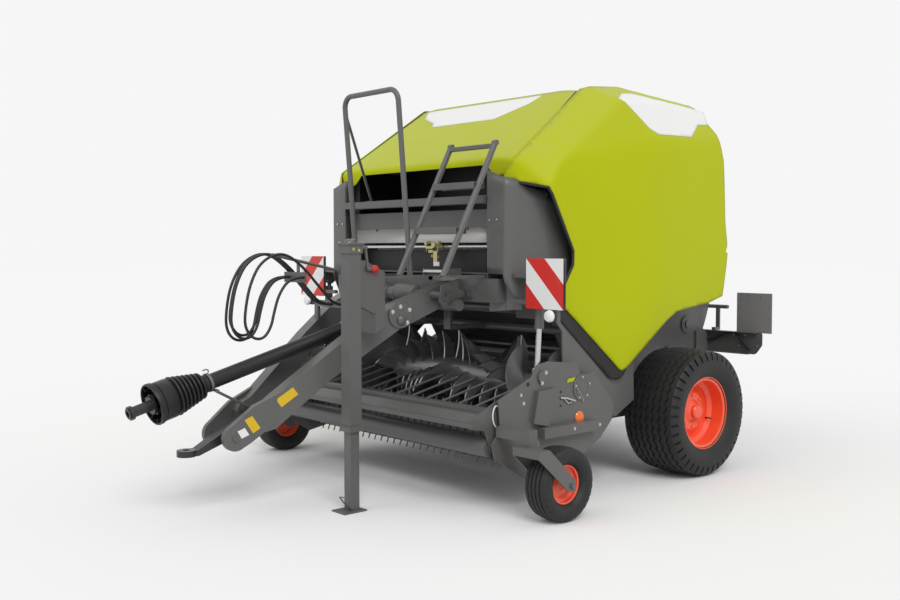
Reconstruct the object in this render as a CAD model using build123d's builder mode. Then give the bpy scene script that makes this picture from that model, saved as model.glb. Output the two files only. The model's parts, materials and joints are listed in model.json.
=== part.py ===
"""Round baler for hay and straw, towed, standing parked on its jack with the pickup lowered.

Millimetres, +Z up. The drawbar points along -Y and the tailgate is at +Y. The origin lies on the
ground under the middle of the machine's length. Stations are read from the axle, positive to the
rear. The machine's left side is +X.
"""

import os
from math import atan2, cos, degrees, hypot, pi, radians, sin, sqrt

from build123d import *

os.makedirs("parts", exist_ok=True)

# Running gaps
fit_gap = 0.1
soft_gap = 0.3
run_gap = 6.0
seam_gap = 8.0

# Main wheels
wheel_od = 820.0
tyre_width = 400.0
wheel_x = 1075.0
rim_seat_r = 216.0
rim_flange_r = 235.0
rim_width = 330.0
rim_wall = 8.0
hub_r = 78.0
spindle_r = 40.0

# Guide wheels of the pickup
guide_od = 405.0
guide_tyre_width = 160.0
guide_station = -1520.0
guide_rim_r = 115.0
guide_hub_r = 32.0
fork_pin_r = 14.0

# Axle
axle_z = wheel_od / 2
axle_half = 75.0
axle_half_height = 45.0

# Bale chamber
chamber_r = 625.0
chamber_station = 20.0
chamber_z = 1330.0
chamber_half_width = 600.0
wall_t = 8.0
roller_r = 108.0
roller_gap = 2.0
roller_shaft_r = 28.0
roller_end_gap = 6.0
front_roller_angles = [103, 126, 149, 172, 195, 236, 259]
gate_roller_angles = [-80, -57, -34, -11, 11, 34, 57, 80]

# Tailgate
gate_pivot_station = -50.0
gate_pivot_z = chamber_z + 930.0
gate_pivot_r = 30.0
gate_wall_gap = 8.0
gate_split = 10.0
gate_wall_r = 935.0

# Feed rotor
rotor_station = -1020.0
rotor_z = 650.0
rotor_tip_r = 275.0
rotor_tube_r = 95.0
star_count = 13
star_pitch = 92.0
star_t = 8.0
star_arms = 4
star_twist = 14.0
auger_r = 215.0
rotor_bearing_r = 60.0
rotor_shaft_r = 45.0
pan_gap = 6.0
pan_t = 4.0

# Pickup
pickup_half_width = 1050.0
side_plate_x = pickup_half_width + 22
side_plate_t = 8.0
side_plate_out = side_plate_x + side_plate_t
cheek_x = side_plate_x - 60
guide_x = side_plate_x + 288
reel_station = -1400.0
reel_z = 365.0
reel_tip_r = 185.0
reel_bar_r = 88.0
reel_stub_r = 20.0
reel_end_gap = 14.0
tine_pitch = 66.0
tine_count = int((2 * (pickup_half_width - reel_end_gap - 10)) // tine_pitch) + 1
tine_wire_r = 3.0
band_r = 142.0
band_t = 2.5
band_gap = 16.0

# Crop roller and wind guard
crop_roller_station = -1712.0
crop_roller_z = 374.0
crop_roller_r = 58.0
guard_pivot_station = -1200.0
guard_pivot_z = 690.0
guard_pin_r = 12.0
guard_arm_x = side_plate_x - 32
guard_arm_t = 10.0
rod_count = 14
rod_r = 7.0

# Drawbar and drive shaft
eye_station = -3060.0
eye_z = 360.0
eye_bore_r = 20.0
beam_t = 90.0
shaft_joint_station = -1700.0
shaft_joint_z = 1050.0
shaft_tip_station = -3338.0
shaft_tip_z = 606.0
yoke_r = 29.0
shield_r = 42.0
fork_half = 38.0
joint_pin_r = 9.0

# Lift cylinders of the pickup
lift_x = side_plate_x - 32
lift_top = (-1330.0, 1250.0)
lift_eye = (-1360.0, 770.0)
lift_pin_r = 12.0
lift_eye_bore_r = 20.0

# Side rails of the frame
rail_in, rail_out = 700.0, 790.0

# Jack
jack_x = 446.0
jack_station = -2230.0
jack_tube = 80.0
jack_wall = 5.0
jack_leg_size = 60.0
jack_top_z = 1440.0
jack_tube_bottom_z = 450.0
jack_collar = 96.0
jack_collar_t = 30.0

# Where the axle lies along the machine: the length runs from the drive shaft's tip to the tailgate
shaft_fall = atan2(shaft_joint_z - shaft_tip_z, shaft_joint_station - shaft_tip_station)
front_reach = yoke_r * sin(shaft_fall) - shaft_tip_station
rear_reach = chamber_station + gate_wall_r
axle_y = (front_reach - rear_reach) / 2

# Hinge line of the front hood
upper_low = gate_pivot_z + 110
upper_high = upper_low + 50
hood_hinge_station = -690.0
hood_hinge_z = upper_high + 10
hood_pin_r = 6.0
hood_ear_r = 11.5

# Hinges of the side doors
door_hinge_x = 790.0
door_hinge_z = upper_high + 10
door_pin_r = 8.0
door_hinges = ((-500.0, 58.0), (80.0, 34.0))

# Skins
door_skin = 6.0
board_size = 283.0
board_t = 3.0


def side_plane(x):
    """Plane at a given x, drawn in (station, height)."""
    return Plane(origin=(x, axle_y, 0), x_dir=(0, 1, 0), z_dir=(1, 0, 0))


def cross_plane(station):
    """Plane across the machine at a station, drawn in (x, height), facing the drawbar."""
    return Plane(origin=(0, axle_y + station, 0), x_dir=(1, 0, 0), z_dir=(0, -1, 0))


def at(x, station, z):
    """A point given by its station."""
    return (x, axle_y + station, z)


def on_ring(angle, radius, station=chamber_station, z=chamber_z):
    """Station and height of a point on a circle, angle from the rear, upwards."""
    return (station + radius * cos(radians(angle)), z + radius * sin(radians(angle)))


def save(builder, name):
    """Labels a finished piece and writes it."""
    builder.part.label = name
    export_step(builder.part, f"parts/{name}.step")


def bar_x(x0, x1, station, z, radius, mode=Mode.ADD):
    """Round bar along x, joined to the piece being built."""
    with BuildSketch(side_plane(min(x0, x1))) as section:
        with Locations((station, z)):
            Circle(radius)
    extrude(section.sketch, amount=abs(x1 - x0), mode=mode)


def plate_x(x0, x1, points, mode=Mode.ADD):
    """Plate between two x values, its outline drawn in (station, height)."""
    with BuildSketch(side_plane(min(x0, x1))) as section:
        Polygon(*points)
    extrude(section.sketch, amount=abs(x1 - x0), mode=mode)


def box_between(low, high, mode=Mode.ADD):
    """Box between two corners given as (x, station, height)."""
    middle = [(a + b) / 2 for a, b in zip(low, high)]
    size = [b - a for a, b in zip(low, high)]
    with Locations(at(*middle)):
        Box(*size, mode=mode)


def bar_between(start, end, radius, mode=Mode.ADD):
    """Round bar between two points given as (x, station, height)."""
    first, last = Vector(*at(*start)), Vector(*at(*end))
    with BuildSketch(Plane(origin=first, z_dir=last - first)) as section:
        Circle(radius)
    extrude(section.sketch, amount=(last - first).length, mode=mode)


def pipe(points, radius, bends):
    """Round pipe along points given as (x, station, height), with the bend radii of its corners."""
    with BuildLine() as path:
        FilletPolyline(*[at(*point) for point in points], radius=bends)
    with BuildSketch(Plane(origin=path.line @ 0, z_dir=path.line % 0)) as section:
        Circle(radius)
    sweep(section.sketch, path=path.wires()[0])


def save_pair(builder, name):
    """Writes the left piece and its mirror image on the right."""
    save(builder, f"{name}_left")
    with BuildPart() as twin:
        mirror(builder.part, about=Plane.YZ)
    save(twin, f"{name}_right")


def tyre_ring(centre, od, width, seat_r, bead_half, wall):
    """Hollow tyre with round sidewalls and a flat crown, revolved about its axle."""
    x, station, z = centre
    crown = od / 2
    shoulder = (width / 2 - wall * 0.7, crown - wall * 0.6)
    middle = (width / 2, (seat_r + crown) / 2)
    with BuildPart() as tyre:
        with BuildSketch(Plane(origin=at(x, station, z), x_dir=(1, 0, 0), z_dir=(0, -1, 0))):
            with BuildLine():
                for hand in (1, -1):
                    bead = (hand * bead_half, seat_r + wall * 0.8)
                    ThreePointArc(bead, (hand * middle[0], middle[1]), (hand * shoulder[0], shoulder[1]))
                    Line(bead, (hand * bead_half, seat_r))
                Line((-bead_half, seat_r), (bead_half, seat_r))
                ThreePointArc((-shoulder[0], shoulder[1]), (0, crown), shoulder)
            outer = make_face()
            offset(outer, amount=-wall, mode=Mode.SUBTRACT)
            with Locations((0, seat_r + wall / 2)):
                Rectangle(2 * (bead_half - wall), wall + 2, mode=Mode.SUBTRACT)
        revolve(axis=Axis(at(x, station, z), (1, 0, 0)))
    return tyre


def wheel_rim(centre, seat_r, flange_r, width, wall, dish, hub_radius, hub_length, bore_r):
    """Well-base rim, dished disc and hub, revolved about the axle; the dish faces outwards (+x)."""
    x, station, z = centre
    half, well = width / 2, seat_r * 0.88
    lip = wall * 0.9
    outer = [(-half, flange_r), (lip - half, flange_r), (2 * lip - half, seat_r), (-half * 0.4, seat_r),
             (-half * 0.28, well), (half * 0.28, well), (half * 0.4, seat_r), (half - 2 * lip, seat_r),
             (half - lip, flange_r), (half, flange_r)]
    inner = [(px, pr - wall) for px, pr in reversed(outer)]
    disc = [(dish[0], well - wall / 2), (dish[0] + wall * 1.3, well - wall / 2),
            (dish[0] + wall * 1.3, well * 0.86), (dish[1] + wall * 1.3, well * 0.62),
            (dish[1] + wall * 1.3, hub_radius * 0.8), (dish[1], hub_radius * 0.8),
            (dish[1], well * 0.62), (dish[0], well * 0.86)]
    hub = [(dish[1] - hub_length, bore_r), (dish[1] - hub_length, hub_radius), (dish[1], hub_radius),
           (dish[1] + wall * 1.3, hub_radius), (dish[1] + wall * 4, hub_radius * 0.6),
           (dish[1] + wall * 4, bore_r)]
    with BuildPart() as rim:
        with BuildSketch(Plane(origin=at(x, station, z), x_dir=(1, 0, 0), z_dir=(0, -1, 0))):
            Polygon(*outer, *inner)
            Polygon(*disc)
            Polygon(*hub)
        revolve(axis=Axis(at(x, station, z), (1, 0, 0)))
    return rim


# Main wheels
wheel_centre = (wheel_x, 0, axle_z)
main_tyre = tyre_ring(wheel_centre, wheel_od, tyre_width, rim_seat_r + soft_gap, rim_width / 2 - 16, 26)
save_pair(main_tyre, "tyre")
spindle_bore_r = spindle_r + fit_gap
main_rim = wheel_rim(
    wheel_centre, rim_seat_r, rim_flange_r, rim_width, rim_wall, (20, 48), hub_r, 190, spindle_bore_r
)
save_pair(main_rim, "rim")

# Guide wheels
guide_centre = (guide_x, guide_station, guide_od / 2)
guide_seat_r = guide_rim_r - 12
guide_rim_width = 104.0
guide_tyre = tyre_ring(
    guide_centre, guide_od, guide_tyre_width, guide_seat_r + soft_gap, guide_rim_width / 2 - 12, 14
)
save_pair(guide_tyre, "guide_tyre")
guide_rim = wheel_rim(
    guide_centre, guide_seat_r, guide_rim_r, guide_rim_width, 5, (8, 14), guide_hub_r, 60, fork_pin_r + fit_gap
)
save_pair(guide_rim, "guide_rim")

# Fork of a guide wheel, with the pin it turns on and the arm to the pickup's side plate
fork_in, fork_out = guide_x - 104, guide_x + 94
fork_t = 9.0
bridge_station = -1735.0
bridge_z = 395.0
with BuildPart() as guide_fork:
    hub_point = (guide_station, guide_od / 2)
    arm = [(bridge_station - 36, bridge_z + 22), (bridge_station + 40, bridge_z + 22),
           (hub_point[0] + 30, hub_point[1] + 26), (hub_point[0] + 30, hub_point[1] - 30),
           (hub_point[0] - 26, hub_point[1] - 30), (bridge_station - 36, bridge_z - 22)]
    plate_x(fork_in, fork_in + fork_t, arm)
    plate_x(fork_out - fork_t, fork_out, arm)
    box_between((fork_in, bridge_station - 36, bridge_z - 22), (fork_out, bridge_station + 40, bridge_z + 22))
    box_between((fork_in + 20, bridge_station + 10, bridge_z + 22), (fork_in + 80, bridge_station + 70, 505))
    box_between((side_plate_out, bridge_station + 10, 440), (fork_in + 80, bridge_station + 70, 500))
    bar_x(fork_in, fork_out + 12, *hub_point, fork_pin_r)
save_pair(guide_fork, "guide_fork")

# Pickup side plates, with the raised cover over the drive and the hinge hole round the rotor's bearing
side_outline = [(-1315, 824), (-1070, 800), (-1030, 720), (-916, 734), (-733, 530), (-743, 433),
                (-849, 334), (-985, 262), (-1488, 170), (-1730, 315), (-1757, 399), (-1690, 470),
                (-1706, 639), (-1445, 746), (-1400, 810)]
cover_outline = [(-1411, 664), (-1268, 671), (-1324, 453), (-1451, 486)]
with BuildPart() as pickup_side:
    plate_x(side_plate_x, side_plate_out, side_outline)
    plate_x(side_plate_out, side_plate_out + 26, cover_outline)
    box_between((side_plate_out, -1400, 396), (side_plate_out + 60, -940, 456))
    bar_x(side_plate_x, side_plate_out + 12, -1360, 740, 38)
    bar_x(guard_arm_x - 6, side_plate_x, guard_pivot_station, guard_pivot_z, guard_pin_r)
    bar_x(lift_x - 18, side_plate_x, *lift_eye, lift_pin_r)
    bar_x(side_plate_x - 10, side_plate_out + 30, rotor_station, rotor_z, rotor_bearing_r + fit_gap, Mode.SUBTRACT)
    bar_x(side_plate_x - 10, side_plate_out + 30, reel_station, reel_z, reel_stub_r + fit_gap, Mode.SUBTRACT)
save_pair(pickup_side, "pickup_side")

# Pickup beam behind the reel and the C-shaped bands that strip the crop off the tines
beam_front, beam_rear = -1205.0, -1145.0
beam_low, beam_high = 285.0, 380.0
with BuildPart() as pickup_beam:
    box_between((-side_plate_x, beam_front, beam_low), (side_plate_x, beam_rear, beam_high))
save(pickup_beam, "pickup_beam")


def tangent_angle(point, radius, hand):
    """Angle where a line from a point touches the band circle; hand 1 is the upper side."""
    dy, dz = point[0] - reel_station, point[1] - reel_z
    reach = hypot(dy, dz)
    swing = degrees(atan2(sqrt(reach**2 - radius**2), radius))
    return degrees(atan2(dz, dy)) + hand * swing


with BuildPart() as pickup_bands:
    top_end = (beam_front, beam_high - 4)
    low_end = (beam_front, beam_low + 4)
    top_angle = tangent_angle(top_end, band_r, 1)
    low_angle = tangent_angle(low_end, band_r, -1) + 360
    mid_angle = (top_angle + low_angle) / 2
    with BuildSketch(side_plane(-side_plate_x)) as band_section:
        with BuildLine() as band_line:
            Line(top_end, on_ring(top_angle, band_r, reel_station, reel_z))
            ThreePointArc(
                on_ring(top_angle, band_r, reel_station, reel_z),
                on_ring(mid_angle, band_r, reel_station, reel_z),
                on_ring(low_angle, band_r, reel_station, reel_z),
            )
            Line(on_ring(low_angle, band_r, reel_station, reel_z), low_end)
        trace(line_width=band_t)
    extrude(band_section.sketch, amount=2 * side_plate_x)
    slot_length = beam_front - 6 - (reel_station - band_r - 10)
    slot_middle = beam_front - 6 - slot_length / 2
    with Locations(at(0, slot_middle, reel_z)):
        with GridLocations(tine_pitch, 1, tine_count, 1):
            Box(band_gap, slot_length, 2 * band_r + 40, mode=Mode.SUBTRACT)
    split(bisect_by=Plane(origin=at(0, beam_front, 0), z_dir=(0, -1, 0)))
save(pickup_bands, "pickup_bands")

# Tined reel: a tube, four bars on three discs, and spring tines leaning back from the bars
with BuildPart() as pickup_reel:
    bar_x(-side_plate_x + 12, side_plate_x - 12, reel_station, reel_z, 34)
    bar_x(-side_plate_out, side_plate_out, reel_station, reel_z, reel_stub_r)
    for x in (reel_end_gap - pickup_half_width, 0, pickup_half_width - reel_end_gap - 6):
        bar_x(x, x + 6, reel_station, reel_z, reel_bar_r + 12)
    for row in range(4):
        row_angle = 45 + 90 * row
        bar_x(reel_end_gap - pickup_half_width, pickup_half_width - reel_end_gap,
              *on_ring(row_angle, reel_bar_r, reel_station, reel_z), 11)
        root = on_ring(row_angle, reel_bar_r, reel_station, reel_z)
        tip = on_ring(row_angle + 12, reel_tip_r - 1, reel_station, reel_z)
        lean = degrees(atan2(tip[1] - root[1], tip[0] - root[0]))
        length = hypot(tip[0] - root[0], tip[1] - root[1])
        with BuildSketch(Plane(origin=at(0, *root), x_dir=(1, 0, 0), z_dir=(0, tip[0] - root[0], tip[1] - root[1]))) as tine_roots:
            with GridLocations(tine_pitch, 1, tine_count, 1):
                Rectangle(2 * tine_wire_r, 2 * tine_wire_r)
        extrude(tine_roots.sketch, amount=length)
save(pickup_reel, "pickup_reel")

# Crop roller and the wind guard that carries it: arms, two rails, and rods reaching back over the reel
upper_rail = (-1740, 577)
lower_rail = (-1850, 510)
with BuildPart() as crop_roller:
    bar_x(-guard_arm_x + run_gap, guard_arm_x - run_gap, crop_roller_station, crop_roller_z, crop_roller_r)
    bar_x(-guard_arm_x - guard_arm_t, guard_arm_x + guard_arm_t, crop_roller_station, crop_roller_z, 14)
save(crop_roller, "crop_roller")

with BuildPart() as wind_guard:
    for x in (-guard_arm_x - guard_arm_t, guard_arm_x):
        arm = [(-1172, 700), (-1200, 725), (-1230, 715), (-1700, 625), (-1880, 545), (-1880, 492),
               (-1776, 474), (-1742, 390), (-1738, 350), (crop_roller_station, crop_roller_z - 34),
               (-1686, 350), (-1676, 420), (-1560, 560), (-1195, 650)]
        plate_x(x, x + guard_arm_t, arm)
        bar_x(x - 1, x + guard_arm_t + 1, crop_roller_station, crop_roller_z, 14 + fit_gap, Mode.SUBTRACT)
        bar_x(x - 1, x + guard_arm_t + 1, guard_pivot_station, guard_pivot_z, guard_pin_r + fit_gap, Mode.SUBTRACT)
    for station, z in (upper_rail, lower_rail):
        box_between((-guard_arm_x, station - 26, z - 14), (guard_arm_x, station + 26, z + 14))
    plate_x(-guard_arm_x, guard_arm_x, [(-1765, 563), (-1800, 563), (-1876, 510), (-1858, 496), (-1790, 548)])
    for i in range(rod_count):
        x = (guard_arm_x - 130) * (2 * i / (rod_count - 1) - 1)
        bar_between((x, upper_rail[0] + 20, 588), (x, -1345, 672), rod_r)
save(wind_guard, "wind_guard")

# Feed rotor: curved four-armed stars set in a V along the tube, and an auger flight at each end
with BuildPart() as feed_rotor:
    rotor_half = side_plate_x - 62
    bar_x(-cheek_x - 48, cheek_x + 48, rotor_station, rotor_z, rotor_shaft_r)
    star_half = star_pitch * (star_count - 1) / 2
    bar_x(-star_half - 30, star_half + 30, rotor_station, rotor_z, rotor_tube_r)
    for i in range(star_count):
        x = i * star_pitch - star_half
        turn = star_twist * abs(i - (star_count - 1) / 2)
        with BuildSketch(side_plane(x - star_t / 2)) as star:
            for arm in range(star_arms):
                start = turn + 360 / star_arms * arm
                tip = on_ring(start, rotor_tip_r, rotor_station, rotor_z)
                heel = on_ring(start - 46, rotor_tube_r * 0.9, rotor_station, rotor_z)
                toe = on_ring(start + 24, rotor_tube_r * 0.9, rotor_station, rotor_z)
                with BuildLine():
                    ThreePointArc(heel, on_ring(start - 24, rotor_tip_r * 0.60, rotor_station, rotor_z), tip)
                    ThreePointArc(tip, on_ring(start + 1, rotor_tip_r * 0.66, rotor_station, rotor_z), toe)
                    Line(toe, heel)
                make_face()
        extrude(star.sketch, amount=star_t)
    flight_start = star_half + 34
    flight_length = rotor_half - 20 - flight_start
    core_r = 40.0
    for hand in (1, -1):
        flight_path = Helix(
            pitch=flight_length / 1.25,
            height=flight_length,
            radius=rotor_tube_r,
            center=at(hand * flight_start, rotor_station, rotor_z),
            direction=(hand, 0, 0),
            lefthand=hand < 0,
        )
        outwards = flight_path @ 0 - Vector(*at(hand * flight_start, rotor_station, rotor_z))
        with BuildSketch(Plane(origin=flight_path @ 0, x_dir=outwards, z_dir=flight_path % 0)) as flight:
            with Locations(((core_r + auger_r) / 2 - rotor_tube_r, 0)):
                Rectangle(auger_r - core_r, 6)
        sweep(flight.sketch, path=flight_path, is_frenet=True)
save(feed_rotor, "feed_rotor")

# Axle with its two spindles
axle_low, axle_high = axle_z - axle_half_height, axle_z + axle_half_height
with BuildPart() as axle:
    box_between((-rail_in, -axle_half, axle_low), (rail_in, axle_half, axle_high))
    bar_x(-wheel_x - 60, wheel_x + 60, 0, axle_z, spindle_r)
save(axle, "axle")

# Pan under the rotor, held between the cheeks
with BuildPart() as rotor_pan:
    with BuildSketch(side_plane(-cheek_x)) as pan_arc:
        with BuildLine():
            CenterArc((rotor_station, rotor_z), rotor_tip_r + pan_gap + pan_t / 2, 248, 104)
        trace(line_width=pan_t)
    extrude(pan_arc.sketch, amount=2 * cheek_x)
save(rotor_pan, "rotor_pan")

# Side frames: the cheek that carries the rotor, the rails up to the front frame and down to the
# axle, and the bracket with the top pin of the lift cylinder
cheek_t = 10.0
cheek_outline = [(-1110, 560), (-1130, 980), (-1200, 1060), (-1200, 1110), (-900, 1110), (-560, 860),
                 (-470, 760), (-462, 520), (-640, 430), (-960, 560)]
with BuildPart() as side_frame:
    plate_x(cheek_x, cheek_x + cheek_t, cheek_outline)
    bar_x(cheek_x + cheek_t, side_plate_out + 8, rotor_station, rotor_z, rotor_bearing_r)
    bar_x(cheek_x - 1, side_plate_out + 9, rotor_station, rotor_z, rotor_shaft_r + fit_gap, Mode.SUBTRACT)
    box_between((rail_in, -1300, 1110), (rail_out, -330, 1190))
    box_between((rail_in, -420, axle_low), (rail_out, -330, 1110))
    box_between((rail_in, -330, axle_low), (rail_out, axle_half + 5, axle_high))
    bar_x(rail_in - 1, rail_out + 1, 0, axle_z, spindle_r + fit_gap, Mode.SUBTRACT)
    box_between((rail_in, -1190, 1050), (cheek_x, -1120, 1110))
    box_between((rail_out, -520, 620), (cheek_x, -490, 780))
    box_between((rail_in, -520, 620), (rail_out, -420, 780))
    bar_x(lift_x - 22, lift_x + 22, *lift_top, lift_pin_r)
    for x in (lift_x - 26, lift_x + 18):
        plate_x(x, x + 8, [(-1370, 1240), (-1330, 1215), (-1290, 1240), (-1270, 1300), (-1370, 1300)])
    box_between((rail_out, -1370, 1292), (lift_x + 26, -1270, 1300))
    box_between((rail_out, -1370, 1110), (rail_out + 8, -1290, 1292))
save_pair(side_frame, "side_frame")

# Front cross-beam and the upper frame that the hood, the side doors and the tailgate hang on
cross_low, cross_high = 1150.0, 1290.0
cross_front, cross_rear = -1430.0, -1300.0
with BuildPart() as crossbeam:
    box_between((-rail_out, cross_front, cross_low), (rail_out, cross_rear, cross_high))
    bar_x(-cheek_x, cheek_x, -1000, 972, 24)
    for x in (-260, 200):
        box_between((x, -1330, 960), (x + 60, -1310, cross_low))
        box_between((x, -1330, 960), (x + 60, -1000, 984))
save(crossbeam, "crossbeam")

upper_in, upper_out = 735.0, 775.0
upper_front = -655.0
with BuildPart() as upper_frame:
    box_between((upper_in, -1290, cross_high), (upper_out, -1240, 1970))
    box_between((upper_in, -1290, 1190), (upper_out, -1240, cross_high))
    plate_x(upper_in, upper_out, [(-1240, 1970), (-1290, 1970), (-1290, 1900), (-1240, 1900), (-640, upper_low - 30),
                                   (-640, upper_low + 15)])
    box_between((upper_in, -660, upper_low), (upper_out, 380, upper_high))
    box_between((upper_in, -420, 1190), (upper_out, -370, upper_low))
    for station, _ in door_hinges:
        with BuildSketch(cross_plane(station + 20)) as lug:
            Polygon((upper_out, upper_low), (upper_out, upper_high), (door_hinge_x - 8, door_hinge_z + 11),
                    (door_hinge_x + 8, door_hinge_z + 11), (door_hinge_x + 12, door_hinge_z),
                    (door_hinge_x + 8, door_hinge_z - 11), (door_hinge_x, upper_low))
        extrude(lug.sketch, amount=20)
        with BuildSketch(cross_plane(station + 56)) as door_pin:
            with Locations((door_hinge_x, door_hinge_z)):
                Circle(door_pin_r)
        extrude(door_pin.sketch, amount=50)
    mirror(about=Plane.YZ)
    box_between((-upper_in, upper_front, upper_low), (upper_in, upper_front + 55, upper_high))
    box_between((-upper_in, -1290, 1740), (upper_in, -1250, 1790))
    for x in (-640, 600):
        plate_x(x, x + 40, [(upper_front, upper_low + 20), (upper_front, upper_high),
                            (hood_hinge_station, hood_hinge_z + hood_ear_r), (hood_hinge_station, hood_hinge_z - hood_ear_r)])
        bar_x(x, x + 40, hood_hinge_station, hood_hinge_z, hood_ear_r)
    bar_x(-700, 700, hood_hinge_station, hood_hinge_z, hood_pin_r)
    bar_x(-upper_out, upper_out, gate_pivot_station, gate_pivot_z, gate_pivot_r)
    for x in (-upper_out, upper_in):
        plate_x(x, x + upper_out - upper_in, [(gate_pivot_station - 60, upper_low), (gate_pivot_station + 60, upper_low),
                (gate_pivot_station + 40, gate_pivot_z - 40), (gate_pivot_station - 40, gate_pivot_z - 40)])
save(upper_frame, "upper_frame")


def ribbed_section(radius, rib_count, rib_height):
    """Outline of a steel roller folded into ribs, four points to each rib."""
    points = []
    for rib in range(rib_count):
        middle = 360 / rib_count * rib
        for turn, r in ((-12, radius - rib_height), (-5, radius), (5, radius), (12, radius - rib_height)):
            points.append((r * cos(radians(middle + turn)), r * sin(radians(middle + turn))))
    return points


roller_ring_r = chamber_r + roller_gap + roller_r
front_wall_in = chamber_half_width
gate_wall_in = front_wall_in + wall_t + gate_wall_gap
front_roller_half = front_wall_in - roller_end_gap
with BuildPart() as front_rollers:
    for angle in front_roller_angles:
        place = on_ring(angle, roller_ring_r)
        with BuildSketch(side_plane(-front_roller_half)) as section:
            with Locations(place):
                Polygon(*ribbed_section(roller_r, 10, 9), rotation=angle)
        extrude(section.sketch, amount=2 * front_roller_half)
        bar_x(-front_wall_in - wall_t - 22, front_wall_in + wall_t + 22, *place, roller_shaft_r)
save(front_rollers, "front_rollers")

gate_roller_half = gate_wall_in - roller_end_gap
with BuildPart() as gate_rollers:
    for angle in gate_roller_angles:
        place = on_ring(angle, roller_ring_r)
        with BuildSketch(side_plane(-gate_roller_half)) as section:
            with Locations(place):
                Polygon(*ribbed_section(roller_r, 10, 9), rotation=angle)
        extrude(section.sketch, amount=2 * gate_roller_half)
        bar_x(-gate_wall_in - wall_t - 22, gate_wall_in + wall_t + 22, *place, roller_shaft_r)
save(gate_rollers, "gate_rollers")

# Walls of the bale chamber, split at the tailgate, with a bearing flange at every roller
front_wall_r = 865.0
bearing_r = 62.0
bearing_t = 12.0
with BuildPart() as front_wall:
    with BuildSketch(side_plane(front_wall_in)) as wall:
        with Locations((chamber_station, chamber_z)):
            Circle(front_wall_r)
        with Locations((chamber_station + gate_split + 1000 - 500, chamber_z)):
            Rectangle(1000, 2400, mode=Mode.SUBTRACT)
        with Locations((gate_pivot_station, gate_pivot_z)):
            Circle(75)
    extrude(wall.sketch, amount=wall_t)
    for angle in front_roller_angles:
        place = on_ring(angle, roller_ring_r)
        bar_x(front_wall_in + wall_t, front_wall_in + wall_t + bearing_t, *place, bearing_r)
        bar_x(front_wall_in - 1, front_wall_in + wall_t + bearing_t + 1, *place, roller_shaft_r + fit_gap, Mode.SUBTRACT)
    bar_x(front_wall_in - 1, front_wall_in + wall_t + 1, gate_pivot_station, gate_pivot_z, gate_pivot_r + fit_gap, Mode.SUBTRACT)
save_pair(front_wall, "front_wall")

with BuildPart() as gate_wall:
    with BuildSketch(side_plane(gate_wall_in)) as wall:
        with Locations((chamber_station, chamber_z)):
            Circle(gate_wall_r)
        with Locations((chamber_station + gate_split - 1000 + 500, chamber_z)):
            Rectangle(1000, 2400, mode=Mode.SUBTRACT)
        with Locations((chamber_station, 475 - 500)):
            Rectangle(3000, 1000, mode=Mode.SUBTRACT)
        Polygon((gate_pivot_station - 70, gate_pivot_z), (gate_pivot_station, gate_pivot_z + 75),
                (120, gate_pivot_z + 20), (300, 2150), (120, 2130), (-20, 2170))
        with Locations((gate_pivot_station, gate_pivot_z)):
            Circle(75)
    extrude(wall.sketch, amount=wall_t)
    for angle in gate_roller_angles:
        place = on_ring(angle, roller_ring_r)
        bar_x(gate_wall_in + wall_t, gate_wall_in + wall_t + bearing_t, *place, bearing_r)
        bar_x(gate_wall_in - 1, gate_wall_in + wall_t + bearing_t + 1, *place, roller_shaft_r + fit_gap, Mode.SUBTRACT)
    bar_x(gate_wall_in - 1, gate_wall_in + wall_t + 1, gate_pivot_station, gate_pivot_z, gate_pivot_r + fit_gap, Mode.SUBTRACT)
save_pair(gate_wall, "gate_wall")

# Cross members of the tailgate, on the inner faces of its walls
with BuildPart() as gate_frame:
    for angle in (-52, -8, 38, 74):
        place = on_ring(angle, gate_wall_r - 42)
        with Locations(Location(at(0, *place), (angle, 0, 0))):
            Box(2 * gate_wall_in, 60, 80)
save(gate_frame, "gate_frame")

# Beam across the tailgate with the rear boards
light_station = 882.0
light_t = 5.0
with BuildPart() as light_beam:
    with BuildSketch(cross_plane(light_station + light_t)) as beam_face:
        with BuildLine():
            FilletPolyline((0, 870), (1092, 870), (1092, 780), (1040, 712), (0, 712), radius=(18, 30, 40))
            Line((0, 712), (0, 870))
        make_face()
        mirror(about=Plane.YZ)
    extrude(beam_face.sketch, amount=light_t)
    box_between((-1060, light_station - 40, 865), (1060, light_station, 870))
    box_between((-1000, light_station - 40, 712), (1000, light_station, 717))
    for hand in (1, -1):
        inner, outer = sorted((hand * gate_wall_in, hand * (gate_wall_in + wall_t)))
        box_between((outer, light_station - 150, 717), (outer + 20, light_station, 865))
        box_between((hand * 700 - 15, light_station - 20, 870), (hand * 700 + 15, light_station + 44, 890))
        box_between((hand * 700 - 15, light_station + 30, 870), (hand * 700 + 15, light_station + 44, 1050))
    bar_x(-780, 780, light_station + 44, 1040, 14)
save(light_beam, "light_beam")

with BuildPart() as rear_boards:
    box_between((880, light_station + light_t, 866), (880 + board_size, light_station + light_t + board_t, 866 + board_size))
    mirror(about=Plane.YZ)
save(rear_boards, "rear_boards")


def faceted_shell(outer, shift):
    """Panel folded from flat facets: the hull of its corners less the same hull moved inwards."""
    shell = ConvexPolyhedron([at(*point) for point in outer], mode=Mode.PRIVATE)
    inner = [(x + shift[0], station + shift[1], z + shift[2]) for x, station, z in outer]
    return shell - ConvexPolyhedron([at(*point) for point in inner], mode=Mode.PRIVATE)


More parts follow.
